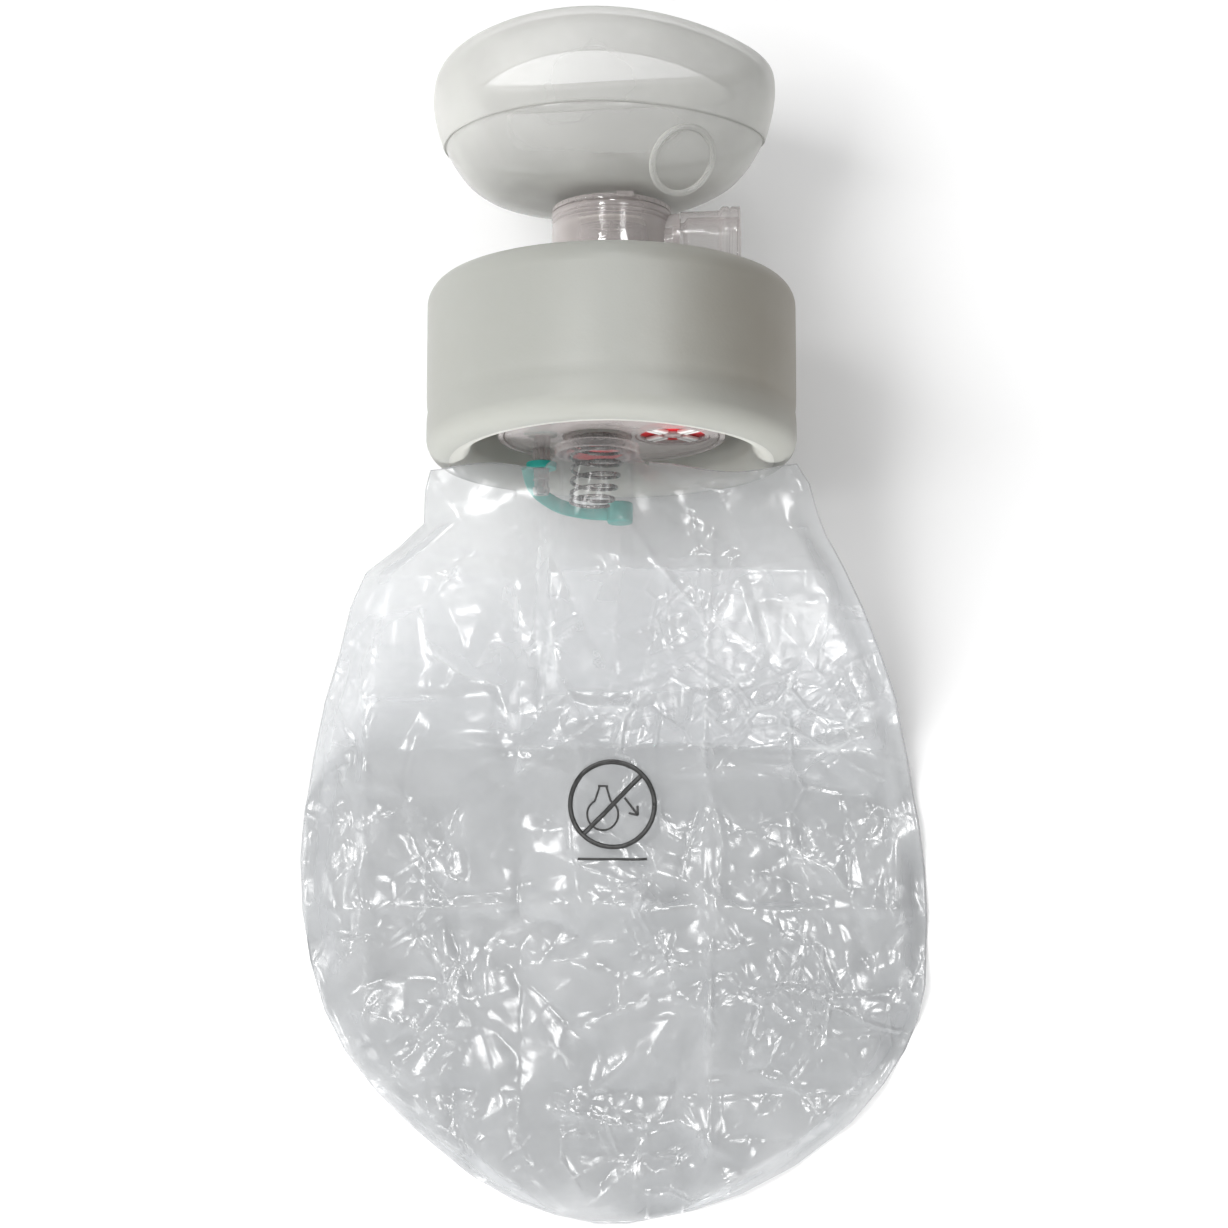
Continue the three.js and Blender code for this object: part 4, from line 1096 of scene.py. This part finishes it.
def film_relief(x, a, inset, amount):
    """Relief of the upper and the lower film, the wavy rim and the crease strengths."""
    rng = np.random.default_rng(7)
    weld, calm = smooth((inset - WELD) / 9), smooth((-6 - a) / 30)
    mark, hidden = np.zeros_like(x), np.zeros_like(x)
    top = factory_folds(x, a, mark) + long_creases(x, a, mark)
    top += crumple(x, a, rng, mark, 240, (10, 38), (0.4, 1.5), (1.4, 3.8))
    top += 0.55 * crumple(x, a, rng, mark, 300, (4, 13), (0.4, 1.1), (1.2, 2.6))
    top += crumple(x, a, rng, hidden, 110, (7, 24), (0.8, 1.9), (2.4, 5.0))
    under = 0.6 * crumple(x, a, rng, hidden, 200, (12, 40), (0.4, 1.4), (1.4, 3.2))
    broad = 2.4 * np.sin(x / 21 + 1.3) * np.sin(a / 26 + 0.6) + 1.2 * np.sin(x / 37 - a / 29)
    dx = x - NECK_X
    pleats = 0.7 * np.sin(13 * np.arctan2(dx, 14 - a)) * np.exp(-np.hypot(dx, a - 4) / 46)
    top = amount * (weld * (calm * (top + broad + 3.6) + 1.2 * pleats))
    under = amount * weld * (calm * (np.abs(under) * 0.8 + 0.3))
    wave = amount * (1 - weld) * smooth((-20 - a) / 30) * (
        1.4 + 1.0 * np.sin(a / 9.0 + x / 13) + 0.7 * np.sin(a / 4.6 - x / 7))
    return top, under, wave, mark


def pouch_faces(closed):
    """Faces of two films, upper first, joined round the rim; closed tells
    which columns are shut at the mouth."""
    nu, nv = FILM_COLUMNS, FILM_ROWS
    off = nu * nv
    faces = []
    for i in range(nv - 1):
        for j in range(nu - 1):
            q = i * nu + j
            faces.append((q, q + nu, q + nu + 1, q + 1))
            faces.append((off + q, off + q + 1, off + q + nu + 1, off + q + nu))
        for j, flip in ((0, False), (nu - 1, True)):
            q = i * nu + j
            f = (q, off + q, off + q + nu, q + nu)
            faces.append(f[::-1] if flip else f)
    for j in range(nu - 1):
        q = (nv - 1) * nu + j
        faces.append((q, off + q, off + q + 1, q + 1))
        if closed[j]:
            faces.append((j, j + 1, off + j + 1, off + j))
    return faces


class BAG_OT_reservoir_bag(bpy.types.Operator):
    """Two clear films welded round the edge, crumpled, running from the neck to the table"""

    bl_idname = "resuscitator.reservoir_bag"
    bl_label = "Reservoir Bag"

    def execute(self, context):
        x, a, rows, below, inset = film_grid()
        half = half_gap(x, a, below, inset)
        amount = context.scene.resuscitator_sizes.crinkle
        top, under, wave, mark = film_relief(x, a, inset, amount)
        drop = (1 - np.cos(np.pi * np.clip((-4 - a) / 114, 0, 1))) / 2
        low = TABLE * drop - half * (1 - drop)
        zb = np.maximum(low + under + wave * 0.9, TABLE + 0.05)
        zt = np.maximum(low + 2 * half + top + wave, zb + 0.3)
        zt = np.where(inset < WELD, zb + FILM, zt)
        verts = [P(*p) for z in (zt, zb) for p in zip(x.ravel(), a.ravel(), z.ravel())]
        faces = pouch_faces(np.abs(x[0] - NECK_X) > SPIGOT_GAP)
        o = piece("reservoir_film", verts, faces, "film", "rear_assembly", "reservoir_bag", 0)
        seen = np.array([p.co[:] for p in o.data.vertices])
        values = mark_at(seen, x, a, zt, mark)
        layer = o.data.attributes.new("crease", "FLOAT", "POINT")
        layer.data.foreach_set("value", values)
        BAG_OT_reservoir_bag.grid = (x, a, zt, rows)
        return {"FINISHED"}


def mark_at(points, x, a, z, mark):
    """Crease strength per vertex: the upper film's grid value where it matches, else none."""
    grid = {}
    for key, value in zip(zip(x.ravel().round(3), a.ravel().round(3), z.ravel().round(2)), mark.ravel()):
        grid[key] = value
    out = np.zeros(len(points))
    for i, (px, py, pz) in enumerate(points):
        key = (round(px / MM, 3), round((py - LIP_Y) / MM, 3), round((pz - AXIS_Z) / MM, 2))
        out[i] = grid.get(key, 0.0)
    return out


def on_film(px, pa):
    """Height of the film's upper face at x, a."""
    x, a, zt, rows = BAG_OT_reservoir_bag.grid
    i = int(np.argmin(np.abs(rows - pa)))
    return float(np.interp(px, x[i], zt[i]))


class BAG_OT_printed_symbol(bpy.types.Operator):
    """Plain no-pull symbol printed on the film: a ring, a slash and a bag outline"""

    bl_idname = "resuscitator.printed_symbol"
    bl_label = "Printed Symbol"

    centre = (0.3, -113.0)

    def stroke(self, pts, width):
        """Ribbon along points on the film, a hair above it."""
        verts, faces = [], []
        for i, (px, pa) in enumerate(pts):
            q0, q1 = pts[max(0, i - 1)], pts[min(len(pts) - 1, i + 1)]
            dx, da = q1[0] - q0[0], q1[1] - q0[1]
            n = math.hypot(dx, da) or 1
            for s in (-1, 0, 1):
                sx, sa = px - da / n * width / 2 * s, pa + dx / n * width / 2 * s
                verts.append((sx, sa, on_film(sx, sa) + 0.35))
        for i in range(len(pts) - 1):
            for k in (0, 1):
                faces.append((3 * i + k, 3 * i + k + 1, 3 * i + k + 4, 3 * i + k + 3))
        return [P(*v) for v in verts], faces

    def execute(self, context):
        cx, ca = self.centre

        def circle(r, ox=0.0, oa=0.0, n=96, start=0.0, stop=360.0):
            return [(cx + ox + r * math.cos(math.radians(start + (stop - start) * i / n)),
                     ca + oa + r * math.sin(math.radians(start + (stop - start) * i / n)))
                    for i in range(n + 1)]

        def line(x0, a0, x1, a1, n=24):
            return [(cx + x0 + (x1 - x0) * i / n, ca + a0 + (a1 - a0) * i / n) for i in range(n + 1)]

        strokes = [
            (circle(15.2), 1.7), (line(-10.6, -10.6, 10.6, 10.6), 1.7),
            (circle(5.6, -3.5, -3.4, 48, 120, 420), 0.7), (line(-6.3, 1.5, -4.6, 6.4), 0.7),
            (line(-0.7, 1.5, -2.2, 6.4), 0.7), (line(-5.2, 6.6, -1.6, 6.6), 0.7),
            (line(4.4, 2.4, 9.2, -3.8), 0.8), (line(9.2, -3.8, 5.9, -3.1, 8), 0.8),
            (line(9.2, -3.8, 9.0, -0.4, 8), 0.8),
            (line(-12.5, -19.6, 12.5, -19.6, 30), 0.9),
        ]
        verts, faces = [], []
        for pts, width in strokes:
            v, f = self.stroke(pts, width)
            faces += [tuple(i + len(verts) for i in face) for face in f]
            verts += v
        o = scratch(verts, faces)
        m = o.modifiers.new("ink_layer", "SOLIDIFY")
        m.thickness, m.offset = 0.0001, 0
        apply(o)
        o.name = o.data.name = "printed_symbol"
        settle(o, "ink", "rear_assembly", sharp=0)
        return {"FINISHED"}


# ---- the stage ----
# each lamp's name, place and width in metres and its power; glint lamps only show as reflections
LAMPS = (
    ("key", (-0.9, 0.15, 1.2), 0.9, 17.0),
    ("low_fill", (0.05, -1.4, 0.3), 0.45, 18.0),
    ("glint_left", (-0.42, 0.22, 1.25), 0.24, 8.0),
    ("glint_right", (0.5, 0.3, 1.2), 0.24, 7.5),
    ("glint_top", (0.05, 0.85, 1.1), 0.2, 6.5),
    ("glint_low", (0.15, -1.1, 0.42), 0.14, 2.8),
)


class BAG_OT_stage(bpy.types.Operator):
    """Pale table, soft studio light and the camera"""

    bl_idname = "resuscitator.stage"
    bl_label = "Stage"

    def execute(self, context):
        scene = context.scene
        mesh = bpy.data.meshes.new("table")
        mesh.from_pydata([(-3, -3, 0), (3, -3, 0), (3, 3, 0), (-3, 3, 0)], [], [(0, 1, 2, 3)])
        floor = bpy.data.objects.new("table", mesh)
        mesh.materials.append(FINISHES["table"])
        scene.collection.objects.link(floor)

        world = bpy.data.worlds.new("studio")
        world.use_nodes = True
        back = world.node_tree.nodes["Background"]
        back.inputs["Color"].default_value = (1.0, 1.0, 1.0, 1)
        back.inputs["Strength"].default_value = 0.56
        scene.world = world
        for name, place, size, power in LAMPS:
            data = bpy.data.lights.new(name, "AREA")
            data.size, data.energy = size, power
            lamp = bpy.data.objects.new(name, data)
            lamp.location = place
            lamp.visible_glossy = name.startswith("glint")
            lamp.visible_diffuse = not lamp.visible_glossy
            towards = Vector((0, -0.02, 0.03)) - Vector(place)
            lamp.rotation_euler = towards.to_track_quat("-Z", "Y").to_euler()
            scene.collection.objects.link(lamp)

        tilt, away = math.radians(10.5), 1.3
        data = bpy.data.cameras.new("camera")
        data.sensor_width, data.lens = 36.0, 109.4
        data.dof.use_dof = False
        camera = bpy.data.objects.new("camera", data)
        aim = Vector(P(0.87, -53.9, 0))
        camera.location = aim - away * Vector((0, math.sin(tilt), -math.cos(tilt)))
        camera.rotation_euler = (tilt, 0, 0)
        scene.collection.objects.link(camera)
        scene.camera = camera
        scene.view_settings.view_transform = "Standard"
        return {"FINISHED"}


class BAG_PT_panel(bpy.types.Panel):
    bl_label = "Resuscitator"
    bl_space_type = "VIEW_3D"
    bl_region_type = "UI"
    bl_category = "Resuscitator"

    def draw(self, context):
        for group in (context.scene.resuscitator_sizes, context.scene.resuscitator_colours):
            for key in group.__annotations__:
                self.layout.prop(group, key)
        for op in STEPS:
            self.layout.operator(op.bl_idname)


STEPS = (BAG_OT_stage, BAG_OT_squeeze_bag, BAG_OT_neck_fittings, BAG_OT_patient_valve, BAG_OT_face_mask,
         BAG_OT_reservoir_valve, BAG_OT_oxygen_inlet, BAG_OT_reservoir_bag, BAG_OT_printed_symbol)
CLASSES = (ResuscitatorSizes, ResuscitatorColours, *STEPS, BAG_PT_panel)


def register():
    for cls in CLASSES:
        bpy.utils.register_class(cls)
    bpy.types.Scene.resuscitator_sizes = bpy.props.PointerProperty(type=ResuscitatorSizes)
    bpy.types.Scene.resuscitator_colours = bpy.props.PointerProperty(type=ResuscitatorColours)


def unregister():
    del bpy.types.Scene.resuscitator_sizes
    del bpy.types.Scene.resuscitator_colours
    for cls in reversed(CLASSES):
        bpy.utils.unregister_class(cls)


def main():
    register()
    make_finishes()
    ops = bpy.ops.resuscitator
    ops.stage()
    ops.squeeze_bag()
    ops.neck_fittings()
    ops.patient_valve()
    ops.face_mask()
    ops.reservoir_valve()
    ops.oxygen_inlet()
    ops.reservoir_bag()
    ops.printed_symbol()


if __name__ == "__main__":
    main()
